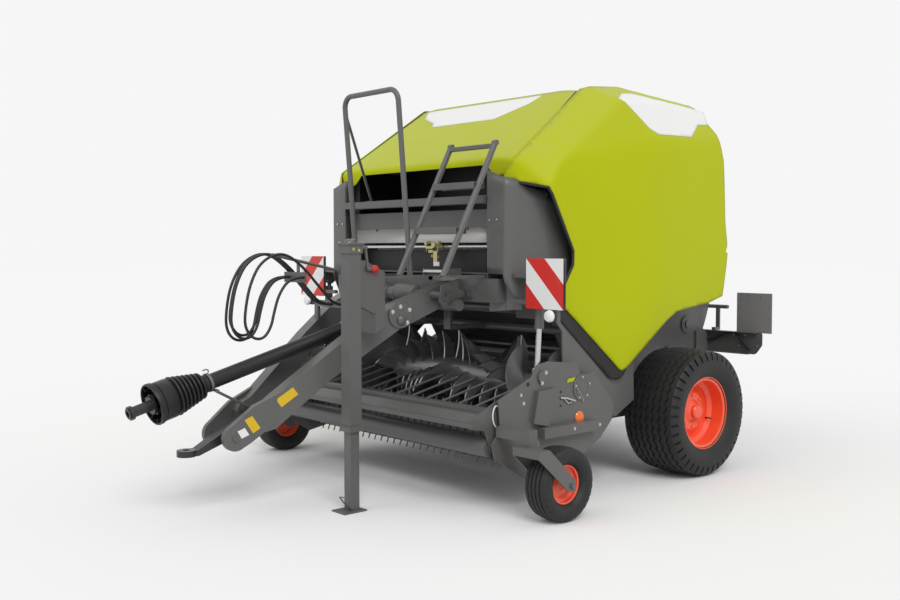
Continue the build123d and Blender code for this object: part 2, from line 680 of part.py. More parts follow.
# Side door: front, side, top and lower facets, cut to its outline in side view
door_corners = [
    (853, -1362, 1990), (862, -1362, 1860), (1050, -1262, 1815), (1062, -1170, 1975),
    (758, -692, 2462), (800, -640, 2478), (800, -380, 2502), (800, 430, 2440),
    (1000, -600, 2375), (1105, -320, 2150), (965, 425, 2396), (1055, 430, 2200),
    (1072, 440, 2060), (1072, 480, 1440), (1066, 440, 1110), (1120, -330, 1150),
    (1124, -420, 1700), (1090, -640, 770), (1072, -640, 700), (1040, -1130, 1120),
    (1060, -1080, 1450), (853, -1300, 1500), (760, -640, 700), (760, 430, 1100),
]
door_outline = [
    (-1400, 2100), (-1400, 1868), (-1265, 1816), (-1074, 1452), (-1074, 1370), (-1133, 1261),
    (-1132, 1127), (-672, 735), (-640, 718), (-600, 735), (-232, 1004), (-117, 1063), (133, 1093),
    (280, 1108), (430, 1144), (472, 1374), (482, 1456), (442, 1645), (432, 1841), (420, 2062),
    (372, 2230), (240, 2380), (230, 2600), (-900, 2600),
]
with BuildPart() as side_door:
    add(faceted_shell(door_corners, (-door_skin * 1.4, door_skin, -door_skin)))
    with BuildSketch(side_plane(700)) as door_side:
        Polygon(*door_outline)
    extrude(door_side.sketch, amount=600, mode=Mode.INTERSECT)
    split(bisect_by=Plane(origin=(door_hinge_x, 0, 0), z_dir=(1, 0, 0)))
    for station, rise in door_hinges:
        box_between((door_hinge_x + 2, station + 25, door_hinge_z),
                    (door_hinge_x + 16, station + 55, door_hinge_z + rise))
        with BuildSketch(cross_plane(station + 55)) as knuckle:
            with Locations((door_hinge_x, door_hinge_z)):
                Circle(door_pin_r + 6)
        extrude(knuckle.sketch, amount=30)
        with BuildSketch(cross_plane(station + 57)) as knuckle_bore:
            with Locations((door_hinge_x, door_hinge_z)):
                Circle(door_pin_r + fit_gap)
        extrude(knuckle_bore.sketch, amount=34, mode=Mode.SUBTRACT)
save_pair(side_door, "side_door")

# Front hood, hinged at its crest
hood_crest_half, hood_front_half = 750.0, 845.0
hood_skin = 6.0
with BuildPart() as front_hood:
    hood_corners = [
        (hand * x, station, z) for hand in (1, -1) for x, station, z in (
            (hood_crest_half, -690, 2467), (hood_crest_half, -690, 2400),
            (hood_front_half, -1360, 1990), (hood_front_half - 5, -1345, 1893), (hood_front_half - 10, -1300, 1893),
        )
    ]
    inner_corners = [
        (hand * (x - hood_skin), station, z) for hand in (1, -1) for x, station, z in (
            (hood_crest_half, -680, 2467 - hood_skin * 1.6), (hood_crest_half, -680, 2380),
            (hood_front_half, -1360 + hood_skin, 1990 - hood_skin * 1.2),
            (hood_front_half - 5, -1345 + hood_skin, 1880), (hood_front_half - 10, -1290, 1880),
        )
    ]
    add(ConvexPolyhedron([at(*point) for point in hood_corners], mode=Mode.PRIVATE))
    add(ConvexPolyhedron([at(*point) for point in inner_corners], mode=Mode.PRIVATE), mode=Mode.SUBTRACT)
    with BuildSketch(cross_plane(-1200)) as lip:
        Polygon((-690, 1880), (690, 1880), (610, 1962), (-610, 1962))
    extrude(lip.sketch, amount=200, mode=Mode.SUBTRACT)
    for x in (-690, 650):
        box_between((x, hood_hinge_station - 11, hood_hinge_z), (x + 40, hood_hinge_station + 9, hood_hinge_z + 22))
        bar_x(x, x + 40, hood_hinge_station, hood_hinge_z, hood_ear_r)
        bar_x(x - 1, x + 41, hood_hinge_station, hood_hinge_z, hood_pin_r + fit_gap, Mode.SUBTRACT)
save(front_hood, "front_hood")

# Grey shields beside the open front, with the arms that hold the front boards
front_board_station = -1392.0
front_board_x = 1000.0
shield_t = 4.0
with BuildPart() as front_shield:
    with BuildSketch(Plane(origin=(0, axle_y, 1112), x_dir=(1, 0, 0), z_dir=(0, 0, 1))) as shield_plan:
        with BuildLine():
            FilletPolyline((700, -1434), (852, -1434), (1000, -1010), radius=45)
        trace(line_width=shield_t)
    extrude(shield_plan.sketch, amount=750)
    with BuildSketch(side_plane(600)) as shield_cut:
        Polygon((-1500, 1862), (-1380, 1862), (-1250, 1800), (-1000, 1660), (-900, 1660), (-900, 2000), (-1500, 2000))
        Polygon((-1130, 1100), (-900, 1100), (-900, 1330), (-1030, 1330))
    extrude(shield_cut.sketch, amount=600, mode=Mode.SUBTRACT)
    box_between((rail_out, -1378, 1284), (lift_x, -1262, 1308), Mode.SUBTRACT)
    box_between((rail_out - 6, -1434, 1160), (rail_out, -1430, 1260))
    for low, high in ((1130, 1165), (1350, 1385)):
        box_between((874, front_board_station + board_t, low), (front_board_x + 230, front_board_station + 18, high))
save_pair(front_shield, "front_shield")

# Front warning boards on their brackets, each with a lamp below
lamp_z = 1092.0
with BuildPart() as front_board:
    box_between((front_board_x, front_board_station, 1128), (front_board_x + board_size, front_board_station + board_t, 1128 + board_size))
    with BuildSketch(cross_plane(front_board_station - 8)) as lens:
        with Locations((front_board_x + 190, lamp_z)):
            Circle(28)
    extrude(lens.sketch, amount=10)
    box_between((front_board_x + 150, front_board_station - 8, lamp_z - 30), (front_board_x + 230, front_board_station + 18, 1130))
save_pair(front_board, "front_board")

# Net box in the open front: upper plate, lid, shelf, brake rod and net roll
with BuildPart() as net_box:
    box_between((-690, -1370, 1590), (690, -1366, 1700))
    plate_x(-690, 690, [(-1366, 1590), (-1370, 1590), (-1400, 1506), (-1396, 1504)])
    box_between((-690, -1425, 1316), (690, -1080, 1322))
    box_between((-690, -1080, 1316), (690, -1074, 1640))
    for x in (-700, 690):
        plate_x(x, x + 10, [(-1425, cross_high), (-1425, 1322), (-1390, 1400), (-1405, 1500), (-1370, 1590), (-1370, 1700),
                            (-1290, 1700), (-1074, 1640), (-1074, 1316), (-1120, cross_high)])
    bar_x(-690, 690, -1378, 1478, 11)
save(net_box, "net_box")

net_roll_station, net_roll_z = -1180.0, 1412.0
with BuildPart() as net_roll:
    bar_x(-600, 600, net_roll_station, net_roll_z, 78)
    bar_x(-690, 690, net_roll_station, net_roll_z, 20)
save(net_roll, "net_roll")

# Gearbox with the shaft tube out to the drive on the left
drive_tube = (-1520, 1130)
with BuildPart() as gearbox:
    box_between((-130, -1600, 1010), (150, cross_front, 1180))
    fillet(gearbox.edges().filter_by(Axis.Z), 14)
    bar_x(-150, 170, -1520, 1090, 70)
    bar_x(170, 560, *drive_tube, 34)
    box_between((150, -1560, 1060), (190, -1480, 1170))
    with BuildSketch(cross_plane(-1590)) as input_flange:
        with Locations((0, shaft_joint_z + 14)):
            Circle(62)
    extrude(input_flange.sketch, amount=30)
    for x in (-fork_half - 10, fork_half):
        box_between((x, shaft_joint_station - 16, shaft_joint_z - 20), (x + 10, -1615, shaft_joint_z + 20))
    bar_x(-fork_half - 11, fork_half + 11, shaft_joint_station, shaft_joint_z, joint_pin_r + fit_gap, Mode.SUBTRACT)
save(gearbox, "gearbox")

# Line of the drive shaft, from its joint at the gearbox down to its parked tip
shaft_reach = hypot(shaft_joint_station - shaft_tip_station, shaft_joint_z - shaft_tip_z)
shaft_dir = Vector(0, -cos(shaft_fall), -sin(shaft_fall))
shaft_plane = Plane(origin=at(0, shaft_joint_station, shaft_joint_z), x_dir=(1, 0, 0), z_dir=shaft_dir)


# Drawbar: two box beams that meet at the front, cut in side view and in plan, with the stay that
# holds the parked drive shaft up and the bridge and rod that carry the hoses
beam_side = [(-2660, 548), (-2640, 590), (-2575, 615), (-2120, 955), (-1830, 1140), (-1450, 1288), (-1430, 1288),
             (-1430, 1150), (-1460, 1150), (-1810, 990), (-2250, 697), (-2540, 461), (-2600, 448), (-2650, 480)]


def beam_top(station):
    """Height of the drawbar's upper edge between its two kinks."""
    return 955 + (station + 2120) * (1140 - 955) / (2120 - 1830)


stay_reach = 1180.0
stay_top = shaft_plane.origin + shaft_dir * stay_reach
stay_z = stay_top.Z - (shield_r + 8 + fit_gap) / cos(shaft_fall)
bridge_top = 1150.0
bridge_front = -2000.0
coupling_station = -2300.0
with BuildPart() as drawbar:
    with BuildSketch(side_plane(0)) as beam_profile:
        Polygon(*beam_side)
    extrude(beam_profile.sketch, amount=600)
    with BuildSketch(Plane(origin=(0, axle_y, 0))) as beam_plan:
        Polygon((50, -2700), (50 + beam_t, -2700), (160, -2540), (266, -2120), (347, -1830), (450, -1430),
                (450 - beam_t, -1430), (257, -1830), (176, -2120), (70, -2540))
    extrude(beam_plan.sketch, amount=1500, mode=Mode.INTERSECT)
    bar_x(-1, 200, -2600, 500, 22.3, Mode.SUBTRACT)
    bar_x(200, 500, *drive_tube, 40, Mode.SUBTRACT)
    mirror(about=Plane.YZ)
    box_between((-200, -2080, 800), (200, -2060, 870))
    bar_between((0, stay_top.Y - axle_y, stay_z), (0, -2600, 562), 8)
    bar_x(-50, 50, stay_top.Y - axle_y, stay_z, 8)
    bar_x(-80, 80, -2598, 562, 9)
    for x in (-250, 215):
        box_between((x, bridge_front, 960), (x + 35, bridge_front + 20, bridge_top))
    box_between((-250, bridge_front, bridge_top - 40), (250, bridge_front + 20, bridge_top))
    pipe([(30, -1990, bridge_top - 10), (30, -2000, 1330), (20, -2130, 1360), (20, -2470, 1432)], 9, 40)
    box_between((-122, coupling_station, 1270), (102, coupling_station + 8, 1330))
    box_between((10, coupling_station, 1325), (34, coupling_station + 8, 1396))
save(drawbar, "drawbar")

# Drawbar eye on its cross pin
with BuildPart() as drawbar_eye:
    with BuildSketch(Plane(origin=(0, axle_y, 0))) as eye_plan:
        with Locations((0, eye_station + 52)):
            Circle(52)
        Polygon((-34, eye_station + 60), (-49, -2700), (-49, -2560), (49, -2560), (49, -2700), (34, eye_station + 60))
    extrude(eye_plan.sketch, amount=700)
    with BuildSketch(side_plane(-100)) as eye_side:
        Polygon((eye_station - 5, eye_z - 17), (eye_station + 110, eye_z - 17), (-2640, 455), (-2560, 455),
                (-2560, 545), (-2640, 545), (eye_station + 110, eye_z + 17), (eye_station - 5, eye_z + 17))
    extrude(eye_side.sketch, amount=200, mode=Mode.INTERSECT)
    bar_x(-152, 152, -2600, 500, 22)
    with Locations(at(0, eye_station + 52, eye_z)):
        Cylinder(eye_bore_r, 60, mode=Mode.SUBTRACT)
save(drawbar_eye, "drawbar_eye")

# Drive shaft: joint, guard tube, bell cones and yoke, drawn straight and laid along its slope
bell_start, bell_end = 1225.0, 1470.0
with BuildPart() as shaft_guard:
    with BuildSketch(Plane(origin=shaft_plane.origin, x_dir=shaft_dir, z_dir=(-1, 0, 0))) as guard_profile:
        Polygon((70, 34), (70, 92), (110, 92), (200, 46), (200, shield_r), (bell_start, shield_r),
                (bell_start, 60), (bell_start + 40, 66), (bell_end - 90, 104), (bell_end, 116),
                (bell_end, 110), (bell_end - 90, 98), (bell_start + 60, 60), (bell_start + 60, 34))
    revolve(guard_profile.sketch, axis=Axis(shaft_plane.origin, shaft_dir))
save(shaft_guard, "shaft_guard")

yoke_bore_r = 17.5
yoke_length = 62.0
with BuildPart() as drive_shaft:
    bar_x(-fork_half - 10, fork_half + 10, shaft_joint_station, shaft_joint_z, joint_pin_r)
    with BuildSketch(shaft_plane.offset(-20)) as core:
        Circle(33)
    extrude(core.sketch, amount=bell_end - 30)
    with BuildSketch(shaft_plane.offset(bell_end - 60)) as inner_yoke:
        Rectangle(104, 60)
        Rectangle(62, 61, mode=Mode.SUBTRACT)
    extrude(inner_yoke.sketch, amount=85)
    with BuildSketch(shaft_plane.offset(bell_end - 64)) as web:
        Circle(50)
    extrude(web.sketch, amount=16)
    with BuildSketch(shaft_plane.offset(bell_end + 5)) as cross_block:
        Rectangle(104, 22)
        Rectangle(22, 104)
    extrude(cross_block.sketch, amount=22)
    with BuildSketch(shaft_plane.offset(bell_end - 8)) as outer_yoke:
        Rectangle(60, 104)
        Rectangle(61, 62, mode=Mode.SUBTRACT)
    extrude(outer_yoke.sketch, amount=90)
    with BuildSketch(shaft_plane.offset(bell_end + 82)) as yoke_web:
        Circle(50)
    extrude(yoke_web.sketch, amount=16)
    with BuildSketch(shaft_plane.offset(bell_end + 90)) as yoke_neck:
        Circle(yoke_r)
    extrude(yoke_neck.sketch, amount=shaft_reach - bell_end - 90)
    with BuildSketch(shaft_plane.offset(shaft_reach - 26)) as yoke_collar:
        Circle(38)
    extrude(yoke_collar.sketch, amount=18)
    with BuildSketch(shaft_plane.offset(shaft_reach - yoke_length)) as yoke_bore:
        Circle(yoke_bore_r)
    extrude(yoke_bore.sketch, amount=yoke_length + 1, mode=Mode.SUBTRACT)
save(drive_shaft, "drive_shaft")

# Jack: square tube with its gear head and crank, bracket to the drawbar, and the leg inside
with BuildPart() as jack_tube_part:
    with BuildSketch(Plane(origin=at(jack_x, jack_station, jack_tube_bottom_z))) as tube_section:
        Rectangle(jack_tube, jack_tube)
        Rectangle(jack_tube - 2 * jack_wall, jack_tube - 2 * jack_wall, mode=Mode.SUBTRACT)
    extrude(tube_section.sketch, amount=jack_top_z - jack_tube_bottom_z)
    with BuildSketch(Plane(origin=at(jack_x, jack_station, jack_tube_bottom_z))) as collar_section:
        Rectangle(jack_collar, jack_collar)
        Rectangle(jack_leg_size + 2 * fit_gap, jack_leg_size + 2 * fit_gap, mode=Mode.SUBTRACT)
    extrude(collar_section.sketch, amount=jack_collar_t)
    box_between((jack_x - 48, jack_station - 48, jack_top_z), (jack_x + 48, jack_station + 48, jack_top_z + 58))
    bar_between((jack_x, jack_station + 40, jack_top_z + 30), (jack_x, jack_station + 110, jack_top_z + 30), 12)
    bar_between((jack_x, jack_station + 100, jack_top_z + 38), (jack_x + 20, jack_station + 104, jack_top_z - 88), 8)
    bar_between((jack_x + 20, jack_station + 90, jack_top_z - 88), (jack_x + 20, jack_station + 170, jack_top_z - 88), 14)
    plate_x(jack_x - 12, jack_x + 12, [(jack_station + 40, 1150), (jack_station + 40, 1400), (jack_station + 90, 1400),
                                       (jack_station + 230, 1330), (jack_station + 230, 1150), (jack_station + 150, 1100)])
    seat = [(jack_station + 160, beam_top(jack_station + 160)), (jack_station + 230, beam_top(jack_station + 230)),
            (jack_station + 230, 1150), (jack_station + 160, 1150)]
    plate_x(230, jack_x + 12, seat)
save(jack_tube_part, "jack_tube")

with BuildPart() as jack_leg:
    with BuildSketch(Plane(origin=at(jack_x, jack_station, 8))) as leg_section:
        Rectangle(jack_leg_size, jack_leg_size)
    extrude(leg_section.sketch, amount=1000)
    box_between((jack_x - 62, jack_station - 95, 0), (jack_x + 62, jack_station + 60, 8))
save(jack_leg, "jack_leg")

# Step across the front, access ladder and handrail
step_station, step_z = -1400.0, 1770.0
with BuildPart() as step:
    box_between((-690, step_station - 60, step_z), (690, step_station + 30, step_z + 5))
    box_between((-690, step_station - 60, step_z - 38), (690, step_station - 55, step_z))
    box_between((-690, step_station + 25, step_z - 38), (690, step_station + 30, step_z))
    for x in (-690, 684):
        box_between((x, step_station - 60, step_z - 38), (x + 6, -1290, step_z))
save(step, "step")

ladder_x0, ladder_x1 = 438.0, 818.0
ladder_top, ladder_foot = (-1482, 2068), (-1880, 1310)
with BuildPart() as ladder:
    pipe([(ladder_x0, *ladder_foot), (ladder_x0, *ladder_top), (ladder_x1, *ladder_top), (ladder_x1, *ladder_foot)], 14, 40)
    for x, rear in ((ladder_x0, cross_rear), (ladder_x1, -1800)):
        box_between((x - 16, ladder_foot[0] - 14, 1290), (x + 16, rear, 1312))
    box_between((642, -1832, 1290), (ladder_x1 + 16, -1800, 1312))
    box_between((642, -1832, 1290), (678, cross_rear, 1312))
    for share in (0.36, 0.70):
        station = ladder_foot[0] + share * (ladder_top[0] - ladder_foot[0])
        z = ladder_foot[1] + share * (ladder_top[1] - ladder_foot[1])
        box_between((ladder_x0, station - 30, z - 4), (ladder_x1, station + 30, z + 4))
save(ladder, "ladder")

rail_r = 16.0
rail_left, rail_right = 404.0, -116.0
rail_top, rail_top_station, rail_foot_station = 2388.0, -1862.0, -1768.0
with BuildPart() as handrail:
    hoop = [(rail_right, rail_foot_station, 1290), (rail_right, rail_top_station, rail_top),
            (rail_left, rail_top_station, rail_top), (rail_left, rail_foot_station, 1290)]
    pipe(hoop, rail_r, 70)
    bar_between((rail_right, -1867, 2330), (-440, step_station - 10, step_z + 13), 9)
    box_between((-470, step_station - 30, step_z + 5), (-410, step_station + 10, step_z + 12))
    for x in (rail_right, rail_left):
        box_between((x - 16, rail_foot_station - 16, 1290), (x + 16, -1330, 1306))
save(handrail, "handrail")

# Lift cylinders of the pickup: barrel hung in the front frame, rod down to the side plate
lift_slope = atan2(lift_eye[0] - lift_top[0], lift_top[1] - lift_eye[1])
lift_length = hypot(lift_eye[0] - lift_top[0], lift_top[1] - lift_eye[1])


def lift_point(reach):
    """Station and height on the cylinder's line, at a distance below its top pin."""
    return (lift_top[0] + reach * sin(lift_slope), lift_top[1] - reach * cos(lift_slope))


with BuildPart() as lift_barrel:
    bar_x(lift_x - 16, lift_x + 16, *lift_top, 24)
    bar_between((lift_x, *lift_point(16)), (lift_x, *lift_point(60)), 14)
    bar_between((lift_x, *lift_point(52)), (lift_x, *lift_point(240)), 27)
    bar_x(lift_x - 17, lift_x + 17, *lift_top, lift_pin_r + fit_gap, Mode.SUBTRACT)
    bar_between((lift_x, *lift_point(72)), (lift_x, *lift_point(241)), 16 + fit_gap, Mode.SUBTRACT)
save_pair(lift_barrel, "lift_barrel")

with BuildPart() as lift_rod:
    bar_between((lift_x, *lift_point(180)), (lift_x, *lift_point(lift_length - 20)), 16)
    bar_x(lift_x - 14, lift_x + 14, *lift_eye, lift_eye_bore_r + 5)
    bar_x(lift_x - 15, lift_x + 15, *lift_eye, lift_eye_bore_r, Mode.SUBTRACT)
save_pair(lift_rod, "lift_rod")

# Hoses: they leave the gearbox bracket, pass over the holder rod, hang in loops and come back
hose_r = 8.0
hose_route = [
    (bridge_front, 1130), (-2085, 1130), (-2190, 1240), (-2310, 1368), (-2440, 1449), (-2580, 1400),
    (-2665, 1270), (-2697, 1120), (-2699, 1010), (-2650, 945), (-2570, 940), (-2520, 1005),
    (-2500, 1110), (-2465, 1215), (-2390, 1300), (coupling_station, 1300),
]
hose_rows = [(-106, 0, 0), (-84, 12, 30), (-62, 8, 12), (84, 10, 20)]


def limp_radii(points):
    """The largest bend that each pair of runs leaves room for."""
    radii = []
    for before, corner, after in zip(points, points[1:], points[2:]):
        first, second = Vector(*corner) - Vector(*before), Vector(*after) - Vector(*corner)
        turn = radians(first.get_angle(second))
        radii.append(0.45 * min(first.length, second.length) / max(sin(turn / 2) / cos(turn / 2), 0.01))
    return radii


for number, (x, pull, drop) in enumerate(hose_rows, start=1):
    points = [(x, station + (pull if station < -2640 and z < 1300 else 0),
               z + (drop if station < -2510 and z < 1100 else 0)) for station, z in hose_route]
    radii = limp_radii(points)
    print("hose", number, "radii", [round(radius) for radius in radii])
    with BuildPart() as hose:
        pipe(points, hose_r, radii)
    save(hose, f"hose_{number}")
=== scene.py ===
# %% [markdown]
# # A round baler, dressed in Blender
#
# The model loads first. Every rigid part of the baler is already in it, in its true place and on
# the body that it moves with. This lesson adds what a CAD solid doesn't carry: paint, rubber,
# tread, hoses, bolts and films. All sizes are metres. The drawbar points to -Y, +X is the
# machine's left side, and the floor is z = 0.

# %% Load the model
import json
import math

import bmesh
import bpy
import numpy as np
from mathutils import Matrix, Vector
from mathutils.geometry import delaunay_2d_cdt


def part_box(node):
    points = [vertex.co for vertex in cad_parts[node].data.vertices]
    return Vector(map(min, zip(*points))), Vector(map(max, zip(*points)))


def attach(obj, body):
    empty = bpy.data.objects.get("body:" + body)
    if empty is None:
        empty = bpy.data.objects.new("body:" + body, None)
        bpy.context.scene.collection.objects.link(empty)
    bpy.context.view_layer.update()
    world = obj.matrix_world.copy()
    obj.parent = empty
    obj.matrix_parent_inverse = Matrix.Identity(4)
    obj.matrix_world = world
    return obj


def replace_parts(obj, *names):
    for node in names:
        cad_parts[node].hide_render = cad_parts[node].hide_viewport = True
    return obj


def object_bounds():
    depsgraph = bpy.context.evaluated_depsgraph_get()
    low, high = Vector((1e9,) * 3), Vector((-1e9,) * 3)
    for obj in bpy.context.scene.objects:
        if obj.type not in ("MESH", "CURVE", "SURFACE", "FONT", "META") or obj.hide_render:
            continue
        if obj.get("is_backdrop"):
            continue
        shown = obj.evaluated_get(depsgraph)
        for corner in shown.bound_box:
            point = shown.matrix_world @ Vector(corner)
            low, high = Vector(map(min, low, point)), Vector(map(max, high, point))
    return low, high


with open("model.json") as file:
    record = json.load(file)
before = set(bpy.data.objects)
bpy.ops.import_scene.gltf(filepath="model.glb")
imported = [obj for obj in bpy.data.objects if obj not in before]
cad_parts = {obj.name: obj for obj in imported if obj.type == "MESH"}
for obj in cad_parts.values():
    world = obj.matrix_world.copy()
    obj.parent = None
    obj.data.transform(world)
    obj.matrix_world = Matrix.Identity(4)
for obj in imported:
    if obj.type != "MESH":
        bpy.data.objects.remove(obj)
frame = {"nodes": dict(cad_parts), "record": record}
cad_low, cad_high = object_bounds()
axle_low, axle_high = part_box("axle")
AXLE_Y = (axle_low[1] + axle_high[1]) / 2
print("box", [round(v, 3) for v in cad_low], [round(v, 3) for v in cad_high], "axle at", round(AXLE_Y, 4))


def spot(x, station, z):
    """A point from its station, which is measured from the axle and positive to the rear."""
    return np.array([x, station + AXLE_Y, z], dtype=float)


# %% [markdown]
# ## Camera
#
# A long lens stands off the front left corner at chest height and looks slightly down. The
# bearing, height and distance come from matching known points of the baler to the photograph.
# The camera is made first; the loose hoses' points were judged by what it sees.

# %% Camera
LENS, SENSOR = 42.0, 36.0
CAMERA_AT = (5.1615, -5.6823, 1.4694)
LOOK_DOWN, BEARING = 2.835, 48.4

camera_data = bpy.data.cameras.new("camera")
camera_data.sensor_width = SENSOR
camera_data.lens = LENS
camera_data.clip_end = 200.0
camera = bpy.data.objects.new("camera", camera_data)
camera.location = spot(*CAMERA_AT)
camera.rotation_euler = (math.radians(90 - LOOK_DOWN), 0.0, math.radians(BEARING))
bpy.context.scene.collection.objects.link(camera)
bpy.context.scene.camera = camera
print("camera at", [round(v, 3) for v in camera.location])

# %% [markdown]
# ## Hoses
#
# Four hydraulic hoses leave a bridge on the drawbar, rise over a bent rod, hang down in a loop and
# come back up to the coupling plate where they are parked. A hose is a smooth line, so each is a
# NURBS curve with a few listed points, and the curve's own bevel makes it round.

# %% Hoses
HOSE_RADIUS = 0.008
HOSE_ROUTE = [
    (-2.000, 1.130), (-2.085, 1.130), (-2.190, 1.240), (-2.310, 1.368), (-2.440, 1.449), (-2.580, 1.400),
    (-2.665, 1.270), (-2.697, 1.120), (-2.699, 1.010), (-2.650, 0.945), (-2.570, 0.940), (-2.520, 1.005),
    (-2.500, 1.110), (-2.465, 1.215), (-2.390, 1.300), (-2.300, 1.300),
]
# columns: x, how far the front of the loop moves back, how far its bottom is raised
HOSE_ROWS = [(-0.106, 0.0, 0.0), (-0.084, 0.012, 0.030), (-0.062, 0.008, 0.012), (0.084, 0.010, 0.020)]


def free_line(name, points, radius):
    """Smooth round curve on given control points.

    Blender counts each point's radius in a curve's box, so the radius carries the thickness and the
    bevel stays at one.
    """
    data = bpy.data.curves.new(name, "CURVE")
    data.dimensions = "3D"
    data.bevel_depth = 1.0
    data.bevel_resolution = 4
    data.resolution_u = 10
    data.use_fill_caps = True
    spline = data.splines.new("NURBS")
    spline.points.add(len(points) - 1)
    spline.points.foreach_set("co", np.c_[np.asarray(points), np.ones(len(points))].ravel())
    spline.points.foreach_set("radius", np.full(len(points), radius))
    spline.order_u = 3
    spline.use_endpoint_u = True
    thing = bpy.data.objects.new(name, data)
    bpy.context.scene.collection.objects.link(thing)
    return thing


def line_length(thing):
    """Length of a curve's centre line."""
    depth, thing.data.bevel_depth = thing.data.bevel_depth, 0.0
    mesh = bpy.data.meshes.new_from_object(thing)
    points = np.empty(len(mesh.vertices) * 3)
    mesh.vertices.foreach_get("co", points)
    bpy.data.meshes.remove(mesh)
    thing.data.bevel_depth = depth
    return float(np.linalg.norm(np.diff(points.reshape(-1, 3), axis=0), axis=1).sum())


hoses = []
for number, (x, back, up) in enumerate(HOSE_ROWS, start=1):
    route = []
    for station, z in HOSE_ROUTE:
        in_front = station < -2.640 and z < 1.300
        at_bottom = station < -2.510 and z < 1.100
        route.append(spot(x, station + in_front * back, z + at_bottom * up))
    hose = free_line(f"hydraulic_hose_{number}", route, HOSE_RADIUS)
    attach(hose, "chassis")
    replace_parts(hose, f"hose_{number}")
    line_length(hose)
    hoses.append(hose)
    print(hose.name, round(line_length(hose), 3), "m")

# %% [markdown]
# ## Floor and light
#
# A studio shot on white. One broad soft sun stands to the right of the camera, so that the side
# door is the brightest face and the front is a shade darker, and a pale sky fills the rest. Sun and
# sky are the same all over the floor, so a plain sheet meets the backdrop without a horizon and
# still keeps the soft shadow under the machine.

# %% Floor, sky and lamps
BACKDROP, SKY_STRENGTH = 0.92, 0.58
FLOOR_SEEN, FLOOR_BOUNCE, FLOOR_HALF = 0.985, 0.78, 60.0


def grey(value):
    """A neutral colour."""
    return (value, value, value, 1.0)


floor_mesh = bpy.data.meshes.new("floor")
floor_corners = [(FLOOR_HALF * a, FLOOR_HALF * b, 0) for a, b in ((-1, -1), (1, -1), (1, 1), (-1, 1))]
floor_mesh.from_pydata(floor_corners, [], [(0, 1, 2, 3)])
floor = bpy.data.objects.new("floor", floor_mesh)
floor_white = bpy.data.materials.new("floor_white")
floor_white.use_nodes = True
nodes, links = floor_white.node_tree.nodes, floor_white.node_tree.links
nodes.remove(nodes["Principled BSDF"])
floor_seen, floor_bounce = nodes.new("ShaderNodeBsdfDiffuse"), nodes.new("ShaderNodeBsdfDiffuse")
floor_seen.inputs["Color"].default_value = grey(FLOOR_SEEN)
floor_bounce.inputs["Color"].default_value = grey(FLOOR_BOUNCE)


def seen_directly(nodes, links):
    """1 for rays that show a surface to the eye: straight, mirrored or through glass."""
    rays = nodes.new("ShaderNodeLightPath")
    total = rays.outputs["Is Camera Ray"]
    for kind in ("Is Glossy Ray", "Is Transmission Ray"):
        larger = nodes.new("ShaderNodeMath")
        larger.operation = "MAXIMUM"
        links.new(total, larger.inputs[0])
        links.new(rays.outputs[kind], larger.inputs[1])
        total = larger.outputs[0]
    return total


floor_mix = nodes.new("ShaderNodeMixShader")
links.new(seen_directly(nodes, links), floor_mix.inputs["Fac"])
links.new(floor_bounce.outputs[0], floor_mix.inputs[1])
links.new(floor_seen.outputs[0], floor_mix.inputs[2])
links.new(floor_mix.outputs[0], nodes["Material Output"].inputs["Surface"])
floor_mesh.materials.append(floor_white)
bpy.context.scene.collection.objects.link(floor)
floor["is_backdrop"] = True

world = bpy.data.worlds.new("studio")
bpy.context.scene.world = world
world.use_nodes = True
nodes, links = world.node_tree.nodes, world.node_tree.links
sky_light = nodes["Background"]
sky_light.inputs["Color"].default_value = grey(1.0)
sky_light.inputs["Strength"].default_value = SKY_STRENGTH
sky_seen = nodes.new("ShaderNodeBackground")
sky_seen.inputs["Color"].default_value = grey(BACKDROP)
sky_mix = nodes.new("ShaderNodeMixShader")
links.new(seen_directly(nodes, links), sky_mix.inputs["Fac"])
links.new(sky_light.outputs["Background"], sky_mix.inputs[1])
links.new(sky_seen.outputs["Background"], sky_mix.inputs[2])
links.new(sky_mix.outputs["Shader"], nodes["World Output"].inputs["Surface"])


def soft_sun(name, towards, spread, strength):
    """Sun that shines from a direction and has soft shadows."""
    data = bpy.data.lights.new(name, "SUN")
    data.angle = math.radians(spread)
    data.energy = strength
    lamp = bpy.data.objects.new(name, data)
    lamp.rotation_euler = Vector(towards).to_track_quat("Z", "Y").to_euler()
    bpy.context.scene.collection.objects.link(lamp)


soft_sun("key_sun", (0.85, -0.42, 0.85), 30, 1.35)
soft_sun("front_sun", (-0.25, -0.9, 0.8), 45, 0.35)

# %% [markdown]
# ## Effects that several finishes share
#
# Three small node groups are built once and placed in each material with its own values. The
# first is the fine ripple of sprayed paint or cast rubber, the second is dust that settles on
# what faces up, and the third is a broad, faint change of tone, because no real panel has one
# even colour.

# %% Node groups
def new_group(name, inputs, outputs):
    """Empty shader node group with float sockets, as (group, input node, output node)."""
    group = bpy.data.node_groups.new(name, "ShaderNodeTree")
    for label, value in inputs:
        socket = group.interface.new_socket(name=label, in_out="INPUT", socket_type="NodeSocketFloat")
        socket.default_value = value
    for label in outputs:
        group.interface.new_socket(name=label, in_out="OUTPUT", socket_type="NodeSocketFloat")
    return group, group.nodes.new("NodeGroupInput"), group.nodes.new("NodeGroupOutput")


def noise_in(group, source, scale_socket, detail, rough=0.5):
    """Noise on object coordinates, its scale taken from a group input."""
    place = group.nodes.new("ShaderNodeTexCoord")
    noise = group.nodes.new("ShaderNodeTexNoise")
    noise.inputs["Detail"].default_value = detail
    noise.inputs["Roughness"].default_value = rough
    group.links.new(place.outputs["Object"], noise.inputs["Vector"])
    group.links.new(source.outputs[scale_socket], noise.inputs["Scale"])
    return noise


